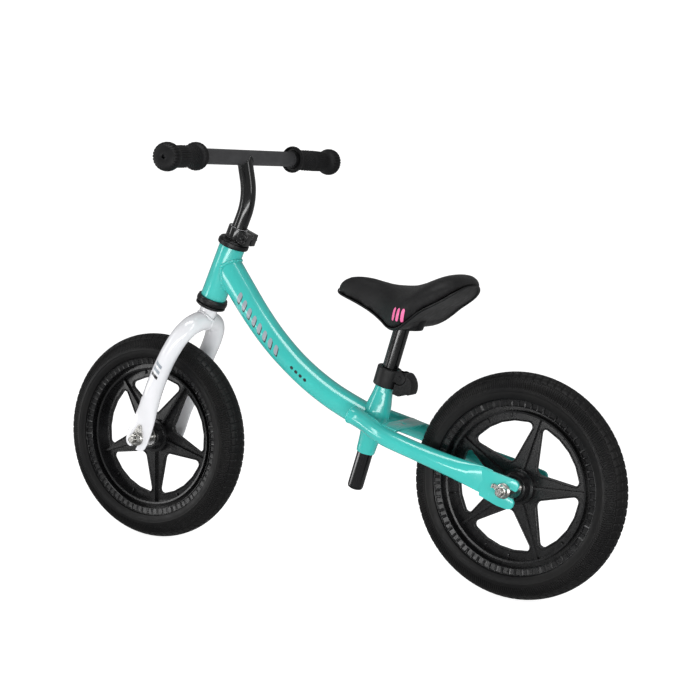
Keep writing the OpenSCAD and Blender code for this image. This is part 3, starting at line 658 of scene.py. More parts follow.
# ------------------------------------------------------------------ fork
LEG = [[0, 0, 192.5], [0, 11, 191.8], [0.2, 21, 189], [0.6, 30, 184.6], [1.6, 38.5, 176], [3, 44.5, 165], [4.6, 48.4, 150],
       [6.4, 50.4, 133], [7.8, 51.2, 114], [8.8, 50.8, 94], [9.2, 49.6, 72], [9.6, 47.2, 52],
       [9.9, 44.9, 37], [10.2, 44, 24], [10.5, 44, 8], [10.6, 44, -6], [10.6, 44, -20]]
leg_path = catmull([[0, -11, 191.8]] + LEG + [[10.6, 44, -34]], 10)[10:-10]


def leg_ab(z):
    a = np.interp(z, [-20, -19, -17, -13, -6, 10, 28, 50, 72, 94, 125, 165, 193], [12.5, 14.6, 16.6, 18.6, 19.6, 19.6, 18, 15.2, 13.9, 13.4, 13.1, 13.6, 14.6])
    b = np.interp(z, [-20, 29, 40, 52, 66, 84, 130, 193], [3.1, 3.3, 5.4, 8.8, 11.8, 12.8, 13, 14])
    return a, b


t = tangents(leg_path, [0, 1, 0], [0, 0, -1])
u = np.array([1.0, 0, 0]) - t[:, [0]] * t
u /= np.linalg.norm(u, axis=1)[:, None]
v = np.cross(t, u)
u_leg, v_leg = u.copy(), v.copy()
la, lb = leg_ab(leg_path[:, 2])
m_ = 72
k_ = np.arange(m_) * TAU / m_
sup = np.interp(leg_path[:, 2], [-20, 20, 60], [0.45, 0.45, 1.0])[:, None]
cs = np.sign(np.cos(k_)) * np.abs(np.cos(k_)) ** sup
sn = np.sign(np.sin(k_)) * np.abs(np.sin(k_)) ** np.where(sup < 1, 0.75, 1.0)
LEGR = leg_path[:, None, :] + (la[:, None] * cs)[..., None] * u[:, None, :] + (lb[:, None] * sn)[..., None] * v[:, None, :]
S = math.radians(-60)
for side, sg in (("left", 1), ("right", -1)):
    at = head if sg > 0 else flip_y(head)
    P = at(LEGR)
    vv, ff = grid(P, cap0=True, cap1=True)
    o = new_object(f"fork_leg_skin_{side}", vv, ff, M_WHITE.m, "fork")
    # slot for the axle
    c2, n2 = np.array([math.cos(S), math.sin(S)]), np.array([-math.sin(S), math.cos(S)])
    A = np.array([298.0, 152.5])
    arc = [A + 5.2 * (n2 * math.cos(q) - c2 * math.sin(q)) for q in np.linspace(0, math.pi, 16)]
    pts = np.array(arc + [A - n2 * 5.2 + c2 * 40, A + n2 * 5.2 + c2 * 40])
    nn = len(pts)
    vv = np.vstack([np.c_[pts[:, 0], np.full(nn, 30 * sg), pts[:, 1]], np.c_[pts[:, 0], np.full(nn, 60 * sg), pts[:, 1]]])
    cut = new_object("tmp", vv, [tuple(range(nn)), tuple(range(nn, 2 * nn))] + [(k, (k + 1) % nn, nn + (k + 1) % nn, nn + k) for k in range(nn)], None, None, smooth=False)
    boolean_cut(o, cut, 45)
    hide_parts(f"fork_leg_{side}")
o = lathe("steerer_skin", rounded([(11.2, 200), (12.7, 200), (12.7, 341.9), (11.2, 341.9)], 0.5), head, M_WHITE.m, "fork", 96)
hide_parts("fork_steerer")
ang = np.linspace(0, TAU, 90, endpoint=False)
crv = np.stack([12.9 * np.cos(ang), 12.9 * np.sin(ang), 192.2 + 14.2 * np.sqrt(1 - (12.7 * np.cos(ang) / 14.6) ** 2)], -1)
bead("weld_crown", head(crv), M_WHITE.m, "fork", r=1.8, pitch=3.0, seed=11)
# seam where the two legs meet under the steerer
crv = np.stack([14.6 * np.cos(ang), 0 * ang, 192.5 + 14.0 * np.sin(ang)], -1)
bead("weld_legs", head(crv), M_WHITE.m, "fork", r=0.9, pitch=2.6, seed=12)

# ------------------------------------------------------------------ stem and bar
def st_point(ang, r0=0.0):
    pass


ST_END, ST_R, ST_B, ST_RISE = 360.0, 90.0, math.radians(34), 31.5
th = np.linspace(0, ST_B, 40)
bend = np.stack([ST_R * (1 - np.cos(th)), 0 * th, ST_END + ST_R * np.sin(th)], -1)
lower = np.stack([np.zeros(60), np.zeros(60), np.linspace(268, ST_END, 60)], -1)
tipd = np.array([math.sin(ST_B), 0, math.cos(ST_B)])
upper = bend[-1] + tipd * np.linspace(0, ST_RISE, 30)[:, None]
stem_path = np.vstack([lower, bend[1:], upper[1:]])
BAR_C = head(upper[-1])
o = tube("stem_skin", stem_path, [0, 1, 0], 11.1, 11.1, M_STEM.m, "bars", 72, at=head, t1=tipd)
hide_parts("stem")
BARMID, BARR, BSW, BAREND = 99.3, 70.0, math.radians(8.8), 104.0
tilt = math.radians(7.8)


def bar_local(p):
    """bar frame: local X rearward, Y along the bar, tilted like the stem's end"""
    p = np.asarray(p, float)
    c, s = math.cos(tilt), math.sin(tilt)
    return np.stack([BAR_C[0] + p[..., 0] * c - p[..., 2] * s, BAR_C[1] + p[..., 1], BAR_C[2] + p[..., 0] * s + p[..., 2] * c], -1)


mid = np.stack([np.zeros(80), np.linspace(0, BARMID, 80), np.zeros(80)], -1)
th = np.linspace(0, BSW, 20)
arc = np.stack([-BARR * (1 - np.cos(th)), BARMID + BARR * np.sin(th), 0 * th], -1)
dirn = np.array([-math.sin(BSW), math.cos(BSW), 0])
end = arc[-1] + dirn * np.linspace(0, BAREND, 60)[:, None]
half = np.vstack([mid, arc[1:], end[1:]])
full = np.vstack([half[:0:-1] * [1, -1, 1], half])
o = tube("handlebar_skin", full, [0, 0, 1], 11.1, 11.1, M_BAR.m, "bars", 64, at=bar_local)
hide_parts("handlebar")
ang = np.linspace(0, TAU, 80, endpoint=False)
updir = np.array([math.sin(math.radians(12.2)), 0, math.cos(math.radians(12.2))])
fw = np.array([updir[2], 0, -updir[0]])
crv = []
for q in ang:
    y, f1 = 11.1 * math.sin(q), 11.1 * math.cos(q)
    h = -math.sqrt(max(11.1 ** 2 - f1 ** 2, 0)) * 1.0
    crv.append(BAR_C + fw * f1 * 1.02 + np.array([0, y * 1.02, 0]) + updir * h)
bead("weld_bar", crv, M_STEM.m, "bars", r=1.1, pitch=2.4, seed=15)


def bar_end_at(sg):
    base = arc[-1]
    zax = dirn

    def f(p):
        p = np.asarray(p, float)
        # local Z runs outwards; local X across, local Y down
        X = np.array([math.cos(BSW), math.sin(BSW), 0])
        Y = np.array([0, 0, -1.0])
        q = base + p[..., [0]] * X + p[..., [1]] * Y + p[..., [2]] * zax
        q = bar_local(q)
        q[..., 1] *= sg
        return q
    return f


# grips: barrel with ribs and dots, notched end bulb
def grip_profile():
    pr = [(11.1, 10.5), (13.4, 10.5), (13.8, 12.4), (14.6, 14.4), (17.6, 14.2), (18.4, 12.4), (19.2, 11.0), (20.6, 10.7), (21.3, 12.0), (21.5, 14.0), (21.3, 16.4),
          (19.6, 18.8), (17.2, 20.6), (15.9, 22.2), (15.2, 24.4)]
    pr += [(15.0 + 0.9 * math.sin(math.pi * (z - 26) / 57), z) for z in np.linspace(26, 83, 116)]
    pr += [(15.3, 84.6), (16.2, 86.6), (17.4, 88.4), (18.8, 90.2), (20.2, 92.0), (21.0, 94.0), (21.5, 96.4), (21.5, 99.6), (21.0, 102.4), (20.0, 104.8), (18.4, 106.8),
           (16.0, 108.3), (13.4, 109.2), (8.0, 109.6), (3.6, 109.6), (3.0, 109.2), (3.0, 104.4), (11.1, 104.4)]
    return [(11.1 + (r - 11.1) * 0.83 if r > 11.1 else r, z) for r, z in pr]


def grip_bump(r, z, a):
    out = r.copy()
    barrel = (z > 25.5) & (z < 84) & (r > 12)
    # ribs along the barrel on the outer half, rows of raised dots on the inner half
    rib = np.clip(1.6 * np.cos(a * 30), -1.0, 0.6)
    w = np.clip((z - 55) / 3, 0, 1) * np.clip((84 - z) / 3, 0, 1)
    out = np.where(barrel, out + 0.62 * rib * w, out)
    zz = (z - 28) / 3.0
    ro = np.round(zz)
    stag = (ro % 2) * math.pi / 26
    da = (((a + stag) * 26 / TAU) % 1.0 - 0.5) * TAU / 26 * 15.5
    dz = (zz - ro) * 3.0
    dot = np.clip(1 - (da ** 2 + dz ** 2) / 0.95, 0, 1)
    w2 = np.clip((53 - z) / 1.5, 0, 1) * np.clip((z - 26.5) / 1.0, 0, 1)
    out = np.where(barrel, out - 0.5 * w2 + 1.15 * np.sqrt(dot) * w2, out)
    # notches round the outer bulb
    bulb = (z > 90) & (z < 108.5) & (r > 13)
    notch = np.clip(np.cos(a * 26) * 2.4 - 0.7, 0, 1)
    wz = np.clip((z - 91) / 2, 0, 1) * np.clip((108.4 - z) / 2, 0, 1)
    out = np.where(bulb, out - 1.1 * notch * wz, out)
    flange = (z > 10.9) & (z < 18.5) & (r > 18.8)
    out = np.where(flange, out - 0.7 * np.clip(np.cos(a * 24) * 2 - 0.6, 0, 1), out)
    return out


for side, sg in (("left", 1), ("right", -1)):
    o = lathe(f"grip_skin_{side}", grip_profile(), bar_end_at(sg), M_GRIP.m, "bars", 320, bump=grip_bump, angle=60)
    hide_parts(f"grip_{side}")

# stem clamp
o = lathe("stem_collar", rounded([(12.75, 323.75), (15.4, 323.75), (15.4, 341.9), (12.75, 341.9)], 0.7), head, M_STEM.m, "fork", 96)
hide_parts("stem_clamp")
for nm, y0, y1 in (("left", 1.3, 13.5), ("right", -13.5, -1.3)):
    e = prism(f"stem_ear_{nm}", [(-26.9, y0), (-26.9, y1), (-9.6, y1), (-8, y1 * 0.8 + y0 * 0.2), (-12.6, y0)] if y0 > 0 else
              [(-26.9, y1), (-26.9, y0), (-9.6, y0), (-8, y0 * 0.8 + y1 * 0.2), (-12.6, y1)], 323.75, 341.9, head)
    c_ = [(0.0, 0.0)]
    ring = np.array([(4.45 * math.cos(q), 4.45 * math.sin(q)) for q in np.linspace(0, TAU, 40, endpoint=False)])
    if nm == "left":
        yy = np.array([10.3, 20.0])
        vv = np.vstack([np.c_[-21 + ring[:, 0], np.full(40, yy[0]), 332.8 + ring[:, 1]], np.c_[-21 + ring[:, 0], np.full(40, yy[1]), 332.8 + ring[:, 1]]])
        cut = new_object("tmp", head(vv), [tuple(range(40)), tuple(range(40, 80))] + [(k, (k + 1) % 40, 40 + (k + 1) % 40, 40 + k) for k in range(40)], None, None, smooth=False)
        boolean_cut(e, cut)
    bevelled(e, 1.1, 4)
    e.data.materials.append(M_STEM.m)
    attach(e, "fork")

# ------------------------------------------------------------------ seat post, clamp
o = lathe("seat_post_skin", [(9.4, 4.2), (11.1, 4.2)] + [(11.1, z) for z in np.linspace(6, 254, 80)] + [(11.0, 255.8), (9.4, 255.8)], seat, M_STEM.m, "saddle", 72)
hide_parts("seat_post")

# seat clamp: collar with two cheeks that carry the lever's pin
PIN = (-23.0, 174.5)


def seat_slab(name, outline, y0, y1, mat, body, w=0.7):
    n = len(outline)
    o2 = np.array(outline, float)
    vv = np.vstack([np.c_[o2[:, 0], np.full(n, y0), o2[:, 1]], np.c_[o2[:, 0], np.full(n, y1), o2[:, 1]]])
    faces = [tuple(range(n)), tuple(range(n, 2 * n))] + [(k, (k + 1) % n, n + (k + 1) % n, n + k) for k in range(n)]
    o = new_object(name, seat(vv), faces, mat, body, smooth=False)
    return bevelled(o, w, 3) if w else o


o = lathe("clamp_collar", rounded([(12.75, 154.6), (16.6, 154.6), (17.5, 155.6), (17.5, 180.4), (16.6, 181.4), (12.75, 181.4)], 0.8), seat, M_CLAMP.m, "frame", 96)
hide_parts("seat_clamp")
cheek = [(PIN[0] + 8.8 * math.cos(q), PIN[1] + 8.8 * math.sin(q)) for q in np.linspace(math.radians(52), math.radians(300), 26)]
cheek += [(-15.4, 166.9), (-13.6, 167.2), (-13.6, 181.2)]
for nm, y0, y1 in (("left", 7.4, 10.25), ("right", -10.25, -7.4)):
    seat_slab(f"clamp_cheek_{nm}", cheek, y0, y1, M_CLAMP.m, "frame", 0.6)

# lever: one closed profile, wide pad and narrow core, crowned by a bevel
def lever_profile():
    out = []
    c = np.array([-22.6, 163.0])
    for q in np.linspace(math.radians(112), math.radians(187), 22):
        out.append(tuple(c + 22.3 * np.array([math.cos(q), math.sin(q)])))
    out += [(-43.9, 157.8), (-42.4, 156.9), (-41.2, 157.0)]
    out += [(-37.6 + 4.6 * math.cos(q), 153.4 + 4.6 * math.sin(q)) for q in np.linspace(math.radians(128), math.radians(22), 9)]
    out += [(-31.6, 151.6), (-28.6, 150.2), (-20.4, 150.1), (-18.7, 151.0), (-18.7, 164.4)]
    return out


pad = lever_profile()
keep = [p for p in pad if math.hypot(p[0] - PIN[0], p[1] - PIN[1]) > 9.6]
# pad outline: outer arc, underside, front face, then round the cheeks
pad_out = [p for p in keep if not (p[0] > -27 and p[1] > 170)]
ringc = [(PIN[0] + 9.6 * math.cos(q), PIN[1] + 9.6 * math.sin(q)) for q in np.linspace(math.radians(285), math.radians(112), 20)]
pad_out = pad_out + [r for r in ringc if r[0] < -18.6]
o = seat_slab("lever_pad", pad_out, -10.5, 10.5, M_LEVER.m, "lever", 0.0)
cyl = np.array([(18.45 * math.cos(q), 18.45 * math.sin(q)) for q in np.linspace(0, TAU, 96, endpoint=False)])
cut = prism("tmp", cyl, 140, 200, seat)
boolean_cut(o, cut)
bevelled(o, 1.3, 4)
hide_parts("clamp_lever")
core = [(PIN[0] + 4.9 * math.cos(q), PIN[1] + 4.9 * math.sin(q)) for q in np.linspace(math.radians(-90), math.radians(128), 24)]
core += [(-33.5, 181.2), (-38, 176), (-38, 160), (-24, 160), (-19.4, 160), (-18.9, 168)]
seat_slab("lever_core", core, -6.7, 6.7, M_LEVER.m, "lever", 0.5)

# ------------------------------------------------------------------ wheels
NT = 2304
TW, TR = 24.0, 152.5
SEC = TR - TW


def tyre_mesh(name, at, phase):
    """foam tyre: smooth side wall, diagonal fins on the shoulder, blocks on the crown"""
    m = 132
    # section angle: 0 at the crown, +-pi at the rim side
    lim = math.radians(114.6)
    q = np.linspace(-lim, lim, m)
    a = np.arange(NT) * TAU / NT
    A, Q = np.meshgrid(a, q, indexing="ij")
    r0 = np.full_like(Q, TW)
    # arc position across the tread in mm
    s = np.abs(Q) * TW
    arc = A * TR
    # fins on the shoulder, 19 to 33 mm from the crown line; alternate direction left and right
    side = np.sign(Q)
    fin_n = 280
    ph = A * fin_n + (s - 20) / 13.0 * 3.6 + phase + np.where(side > 0, 0.0, 1.7)
    fin = np.clip(0.5 + 1.4 * np.cos(ph), 0, 1)
    wf = np.clip((s - 19.0) / 1.2, 0, 1) * np.clip((35.0 - s) / 2.6, 0, 1)
    d = -1.25 * (1 - fin) * wf
    # groove between crown blocks and fins
    d -= 1.1 * np.clip(1 - np.abs(s - 18.2) / 0.9, 0, 1)
    # crown: staggered lugs cut by slanted grooves and a zigzag centre groove
    lug_n = 88
    zig = 2.4 * np.abs(((A * lug_n / TAU) % 1.0) * 2 - 1) - 1.2
    centre = np.clip(1.2 - np.abs(Q * TW - zig) / 1.0, 0, 1)
    crosspos = (A * lug_n / TAU + np.where(side > 0, 0.0, 0.5) + s * 0.012 * 1.5) % 1.0
    pitch = TAU * TR / lug_n
    cross = np.clip(1.35 - np.abs(crosspos - 0.5) * pitch / 1.0, 0, 1)
    mid = np.clip(1.3 - np.abs(s - 9.4 - 1.0 * np.cos(A * lug_n)) / 0.8, 0, 1)
    wc = np.clip((17.8 - s) / 0.8, 0, 1)
    d -= 1.0 * np.maximum(np.maximum(centre, cross * np.clip((s - 1.0), 0, 1)), mid) * wc
    # moulded lines on the side wall
    for s0, dep, wd in ((37.6, 0.5, 0.7), (53.0, 0.6, 0.9)):
        d += dep * np.clip(1 - np.abs(s - s0) / wd, 0, 1)
    rr = r0 + d
    R = SEC + rr * np.cos(Q)
    Z = rr * np.sin(Q)
    P = at(np.stack([R * np.cos(A), R * np.sin(A), Z], -1))
    # close the section along the rim's seat
    inner = [(118.35, 21.2), (118.15, 17.0), (110.9, 13.2), (110.9, -13.2), (118.15, -17.0), (118.35, -21.2)]
    close = []
    for (r, z) in inner:
        close.append(at(np.stack([r * np.cos(a), r * np.sin(a), np.full_like(a, z)], -1))[:, None, :])
    P = np.concatenate([P] + close, axis=1)
    v, f = grid(P, close_u=True, close_v=True)
    return v, f


for nm, at, body in (("rear", rear_at, "rear_wheel"), ("front", front_at, "front_wheel")):
    vv, ff = tyre_mesh(nm, at, 0.0)
    o = new_object(f"{nm}_tyre_skin", vv, ff, M_TYRE.m, body, angle=48)
    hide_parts(f"{nm}_tyre")

TURN = {"rear": math.radians(37.7), "front": math.radians(20)}


def merge(parts):
    V, F, b = [], [], 0
    for v, f in parts:
        V.append(np.asarray(v, float))
        F += [tuple(i + b for i in q) for q in f]
        b += len(v)
    return np.vstack(V), F


def box_vf(x0, x1, y0, y1, z0, z1, rot=0.0):
    c = np.array([[x, y, z] for z in (z0, z1) for (x, y) in ((x0, y0), (x1, y0), (x1, y1), (x0, y1))], float)
    q = c.copy()
    q[:, 0] = c[:, 0] * math.cos(rot) - c[:, 1] * math.sin(rot)
    q[:, 1] = c[:, 0] * math.sin(rot) + c[:, 1] * math.cos(rot)
    return q, [(0, 3, 2, 1), (4, 5, 6, 7), (0, 1, 5, 4), (1, 2, 6, 5), (2, 3, 7, 6), (3, 0, 4, 7)]


def rim_details(nm, at, body):
    # ring of shallow moulded pockets in the flange, both sides
    n = 720
    a = np.arange(n) * TAU / n
    parts = []
    for sg in (1, -1):
        prof = [(118.1, 19.2), (117.9, 19.9), (117.4, 20.1), (116.9, 19.9), (116.4, 19.4), (109.3, 18.3), (108.9, 18.4), (108.4, 18.3), (107.95, 17.7),
                (107.9, 13.0), (118.1, 13.0)]
        cell = (a * 76 / TAU + 0.25) % 1.0
        pocket = (cell > 0.2).astype(float)
        soft = np.clip((np.minimum(np.abs(cell - 0.2), np.abs(1 - cell)) / 0.06), 0, 1) * pocket
        P = np.zeros((n, len(prof), 3))
        for k, (r, z) in enumerate(prof):
            dz = 1.5 * soft if k in (4, 5) else 0.0
            P[:, k] = np.stack([r * np.cos(a), r * np.sin(a), sg * (z - dz) * np.ones(n)], -1)
        parts.append(grid(P, close_u=True, close_v=True))
    v, f = merge(parts)
    new_object(f"{nm}_rim_flange", at(v), f, M_RIM.m, body, angle=30)
    # short radial ribs on the web ring, four between each pair of spokes
    parts = []
    for k in range(5):
        for j in (-0.5, 0.5):
            rot = TURN[nm] + (k + 0.5) * TAU / 5 + j * TAU / 5 / 3.3
            for sg in (1, -1):
                z0, z1 = (2.3, 6.6) if sg > 0 else (-6.6, -2.3)
                parts.append(box_vf(92.6, 100.2, -1.1, 1.1, z0, z1 - 1.6 if sg > 0 else z1, rot) if sg > 0 else box_vf(92.6, 100.2, -1.1, 1.1, z0 + 1.6, z1, rot))
    v, f = merge(parts)
    o = new_object(f"{nm}_rim_ribs", at(v), f, M_RIM.m, body, smooth=False)
    bevelled(o, 0.5, 2)
    # a rounded lip round each window
    parts = []
    half = math.pi / 5
    for k in range(5):
        c = TURN[nm] + (k + 0.5) * TAU / 5
        # window outline: tangent hull of the outer row and the inner round corner
        P0 = []
        o1 = [(81.4 * math.cos(g * (half - math.radians(9.4))), 81.4 * math.sin(g * (half - math.radians(9.4))), 6.0) for g in (-1, -0.5, 0, 0.5, 1)]
        circ = o1 + [(25.5 / math.sin(half), 0.0, 9.0)]
        ptsh = []
        for (x, y, r) in circ:
            ptsh += [(x + r * math.cos(q), y + r * math.sin(q)) for q in np.linspace(0, TAU, 40, endpoint=False)]
        hull = convex(ptsh)
        hull = resample(np.array(hull), 150)
        rot = np.array([[math.cos(c), -math.sin(c)], [math.sin(c), math.cos(c)]])
        h = hull @ rot.T
        tt = np.roll(h, -1, 0) - np.roll(h, 1, 0)
        tt /= np.linalg.norm(tt, axis=1)[:, None]
        nrm = np.stack([tt[:, 1], -tt[:, 0]], 1)
        if (nrm * (h - h.mean(0))).sum() < 0:
            nrm = -nrm
        for sg in (1, -1):
            sec = [(0.0, 2.3), (0.0, 3.0), (0.35, 3.5), (1.1, 3.7), (1.9, 3.5), (2.3, 3.0), (2.4, 2.3)]
            Q = np.zeros((len(h), len(sec), 3))
            for j, (w, z) in enumerate(sec):
                Q[:, j, :2] = h + nrm * w
                Q[:, j, 2] = sg * z
            parts.append(grid(Q, close_u=True, close_v=True))
    v, f = merge(parts)
    new_object(f"{nm}_rim_window_lips", at(v), f, M_RIM.m, body, angle=50)
    # raised ring round each bearing seat
    for sg, tag in ((1, "left"), (-1, "right")):
        pr = [(13.3, 20.3), (13.3, 21.15), (13.9, 21.5), (16.8, 21.5), (17.9, 20.9), (18.2, 19.6), (18.9, 12), (20.5, 9.4), (24.2, 9.05), (24.2, 8.6), (17.5, 8.6), (17.5, 20.3)]
        lathe(f"{nm}_hub_shell_{tag}", [(r, sg * z) for r, z in pr], at, M_RIM.m, body, 96)


def convex(pts):
    pts = sorted(set((round(x, 5), round(y, 5)) for x, y in pts))

    def halfh(ps):
        h = []
        for p in ps:
            while len(h) > 1 and (h[-1][0] - h[-2][0]) * (p[1] - h[-2][1]) - (h[-1][1] - h[-2][1]) * (p[0] - h[-2][0]) <= 0:
                h.pop()
            h.append(p)
        return h[:-1]
    return halfh(pts) + halfh(pts[::-1])


def resample(p, n):
    c = np.vstack([p, p[:1]])
    d = np.concatenate([[0], np.cumsum(np.linalg.norm(np.diff(c, axis=0), axis=1))])
    s = np.linspace(0, d[-1], n, endpoint=False)
    return np.stack([np.interp(s, d, c[:, k]) for k in range(2)], 1)


rim_details("rear", rear_at, "rear_wheel")
rim_details("front", front_at, "front_wheel")

# threaded axle ends and flanged nuts
def thread_bump(r, z, a):
    w = ((np.abs(z) - a / TAU * 1.25) / 1.25) % 1.0
    return np.where(r > 4.5, r - 0.55 * np.abs(w * 2 - 1), r)


for nm, at, body in (("rear", rear_at, "frame"), ("front", front_at, "fork")):
    for sg, tag in ((1, "left"), (-1, "right")):
        z0 = 58.6 if nm == "rear" else 58.1
        pr = [(0.02, z0), (5.0, z0)] + [(5.0, z) for z in np.arange(z0 + 0.2, 64.2, 0.16)] + [(4.2, 64.95), (0.02, 65.0)]
        lathe(f"{nm}_axle_thread_{tag}", [(r, sg * z) for r, z in pr], at, M_ZINC.m, body, 64, bump=thread_bump, angle=25)
        zb = 50.0 if nm == "rear" else 49.5
        # hexagon with chamfered corners above a domed flange
        k = 96
        a = np.arange(k) * TAU / k + 0.2
        hexr = 7.5 / np.cos(((a + math.pi / 6) % (math.pi / 3)) - math.pi / 6)
        rows = []
        for (z, lim, kind) in ((0, 10.3, 0), (0.9, 10.3, 0), (1.7, 9.4, 0), (2.2, 8.9, 1), (7.9, 8.9, 1), (8.9, 7.9, 1), (9.15, 7.3, 1), (9.15, 5.35, 2), (8.3, 5.05, 2), (0, 5.05, 2)):
            r = np.full(k, float(lim)) if kind in (0, 2) else np.minimum(hexr, lim)
            rows.append(np.stack([r * np.cos(a), r * np.sin(a), np.full(k, sg * (zb + z))], -1))
        P = at(np.array(rows))
        vv, ff = grid(P, close_u=True, close_v=True)
        o = new_object(f"{nm}_nut_{tag}", vv, ff, M_ZINC.m, body, angle=28)
        if sg > 0:
            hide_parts(f"{nm}_axle_nuts")

# ------------------------------------------------------------------ saddle
SX = [-9.4, -10.5, -13, -18, -26, -36, -48, -60, -72, -84, -96, -108, -120, -132, -144, -156, -168, -180, -190, -198, -205, -210, -213, -214.5]
HALF = [3, 6.6, 10.6, 14.8, 18, 19.8, 21, 22.4, 24.6, 28.4, 34.4, 43, 53, 62.5, 68.6, 71, 70.4, 67.4, 62, 55, 45, 33, 22, 8]
TOP = [398, 401, 404.6, 408.6, 412.6, 414.6, 415, 414, 412, 409.6, 407.8, 407, 407.2, 408.4, 410.8, 414.8, 420, 425, 427.8, 428, 426.4, 423.4, 420, 417]
SEAM = [393, 391.4, 389.6, 387.6, 385, 381.8, 377.6, 373, 368, 362.4, 356.4, 350.6, 349.4, 351.4, 357.4, 366.4, 376, 383.5, 389.5, 395, 401, 406, 409.4, 411]
DROP_X = [-214.5, -205, -190, -168, -132, -60, -30, -9.4]
DROP = [1.8, 2.2, 2.6, 3.0, 3.4, 3.0, 2.6, 1.4]
# even parameter along the saddle, dense at both rounded ends
tp = np.arange(len(SX), dtype=float)
tq = np.linspace(0, len(SX) - 1, 150)


def smooth_tab(vals):
    p = catmull(np.stack([tp, np.array(vals, float), 0 * tp], 1), 12)
    return np.interp(tq, p[:, 0], p[:, 1])


X_, H_, T_, S_ = (smooth_tab(q) for q in (SX, HALF, TOP, SEAM))
H_ = np.maximum(H_, 1.0)
base_drop = np.interp(X_, DROP_X, DROP)
n_u, n_v = len(X_), 61
ph = np.linspace(0, math.pi, n_v)
shrink = 1.1     # the cover starts smaller, since it swells under pressure


def cover_points(inset):
    w = np.maximum(H_ - inset, 0.6)[:, None]
    top, sm = (T_ - inset)[:, None], (S_ + 0.4)[:, None]
    c, s = np.cos(ph)[None], np.sin(ph)[None]
    y = w * np.sign(c) * np.abs(c) ** 0.8
    z = sm + (top - sm) * s ** 0.72
    # the flanks draw in a little under the widest line
    tuck = 1.0 - 0.10 * np.clip(1 - s / 0.35, 0, 1) ** 2 * np.clip((w - 25) / 30, 0, 1)
    upper = np.stack([X_[:, None] * np.ones_like(y), y * tuck, z * np.ones_like(y)], -1)
    # arched underside, from the far edge back to the near one
    uu = np.linspace(-0.97, 0.97, 25)[None]
    yl = w * 0.9 * uu
    zl = sm + 1.2 + ARCH[:, None] * arch_shape(np.abs(uu))
    lower = np.stack([X_[:, None] * np.ones_like(yl), yl, zl * np.ones_like(yl)], -1)
    return np.concatenate([upper, lower], 1)


ARCH = np.interp(X_, [-214.5, -211, -206, -198, -186, -172, -158, -147, -140, -112, -100, -80, -50, -24, -14, -9.4], [0.5, 2.5, 7, 12.5, 15.5, 15, 11, 4, 0, 0, 0, 0, 0, 0, 0, 0])


def arch_shape(u):
    return np.clip(1 - u ** 2.6, 0, 1)


CP = cover_points(shrink)
CP[:, :, 0] = np.clip(CP[:, :, 0], -214.5 + shrink, -9.4 - shrink)
vv, ff = grid(CP, close_v=True, cap0=True, cap1=True)
pad_o = new_object("saddle_cushion", vv, ff, M_SKIN.m, "saddle")
start = None
mod = pad_o.modifiers.new("remesh", "REMESH")
mod.mode = "VOXEL"
mod.voxel_size = 0.0042
mod.use_smooth_shade = True
apply_mods(pad_o)
rest_co = np.empty(len(pad_o.data.vertices) * 3)
pad_o.data.vertices.foreach_get("co", rest_co)
rest_co = rest_co.reshape(-1, 3)
# the stitched lower edge is held; the skin above it swells
seam_z = np.interp(rest_co[:, 0] / MM, X_[::-1], S_[::-1]) * MM
low = rest_co[:, 2] < seam_z + 0.006
vg = pad_o.vertex_groups.new(name="held")
vg.add([int(i) for i in np.where(low)[0]], 1.0, "REPLACE")
cl = pad_o.modifiers.new("cloth", "CLOTH")
st = cl.settings
st.quality = 5
st.mass = 0.3
st.tension_stiffness = 40
st.compression_stiffness = 40
st.shear_stiffness = 20
st.bending_stiffness = 2.0
st.use_pressure = True
st.uniform_pressure_force = 4.0
st.vertex_group_mass = "held"
st.effector_weights.gravity = 0.0
cl.collision_settings.use_collision = False
cl.collision_settings.use_self_collision = False
cl.point_cache.frame_start = 1
cl.point_cache.frame_end = 20
sc = bpy.context.scene
for fr in range(1, 21):
    sc.frame_set(fr)
apply_mods(pad_o)
sc.frame_set(1)
co = np.empty(len(pad_o.data.vertices) * 3)
pad_o.data.vertices.foreach_get("co", co)
co = co.reshape(-1, 3)
dlt = co - rest_co
ln = np.linalg.norm(dlt, axis=1)
cap = 0.0022
k = np.where(ln > cap, cap / np.maximum(ln, 1e-9), 1.0)
pad_o.data.vertices.foreach_set("co", (rest_co + dlt * k[:, None]).ravel())
pad_o.vertex_groups.clear()
sm = pad_o.modifiers.new("smooth", "SMOOTH")
sm.factor = 0.5
sm.iterations = 6
sub = pad_o.modifiers.new("sub", "SUBSURF")
sub.levels = 1
sub.render_levels = 1
apply_mods(pad_o)
pad_o.data.polygons.foreach_set("use_smooth", np.ones(len(pad_o.data.polygons), dtype=bool))
pad_o.data.update()
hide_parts("saddle_cover")


def seam_curve(dz=0.0, out=0.0, lo=0, hi=None):
    i = np.arange(n_u)[lo:hi]
    yv = (H_[i] - 1.0 + out) * (1 - 0.10 * np.clip((H_[i] - 25) / 30, 0, 1))
    left = np.stack([X_[i], yv, S_[i] + dz], -1)
    right = left[::-1] * [1, -1, 1]
    return np.vstack([left, right])


# piping round the cover's lower edge
cv = resample3 = None


def resample_3(p, n):
    c = np.vstack([p, p[:1]])
    d = np.concatenate([[0], np.cumsum(np.linalg.norm(np.diff(c, axis=0), axis=1))])
    s = np.linspace(0, d[-1], n, endpoint=False)
    return np.stack([np.interp(s, d, c[:, k]) for k in range(3)], 1)


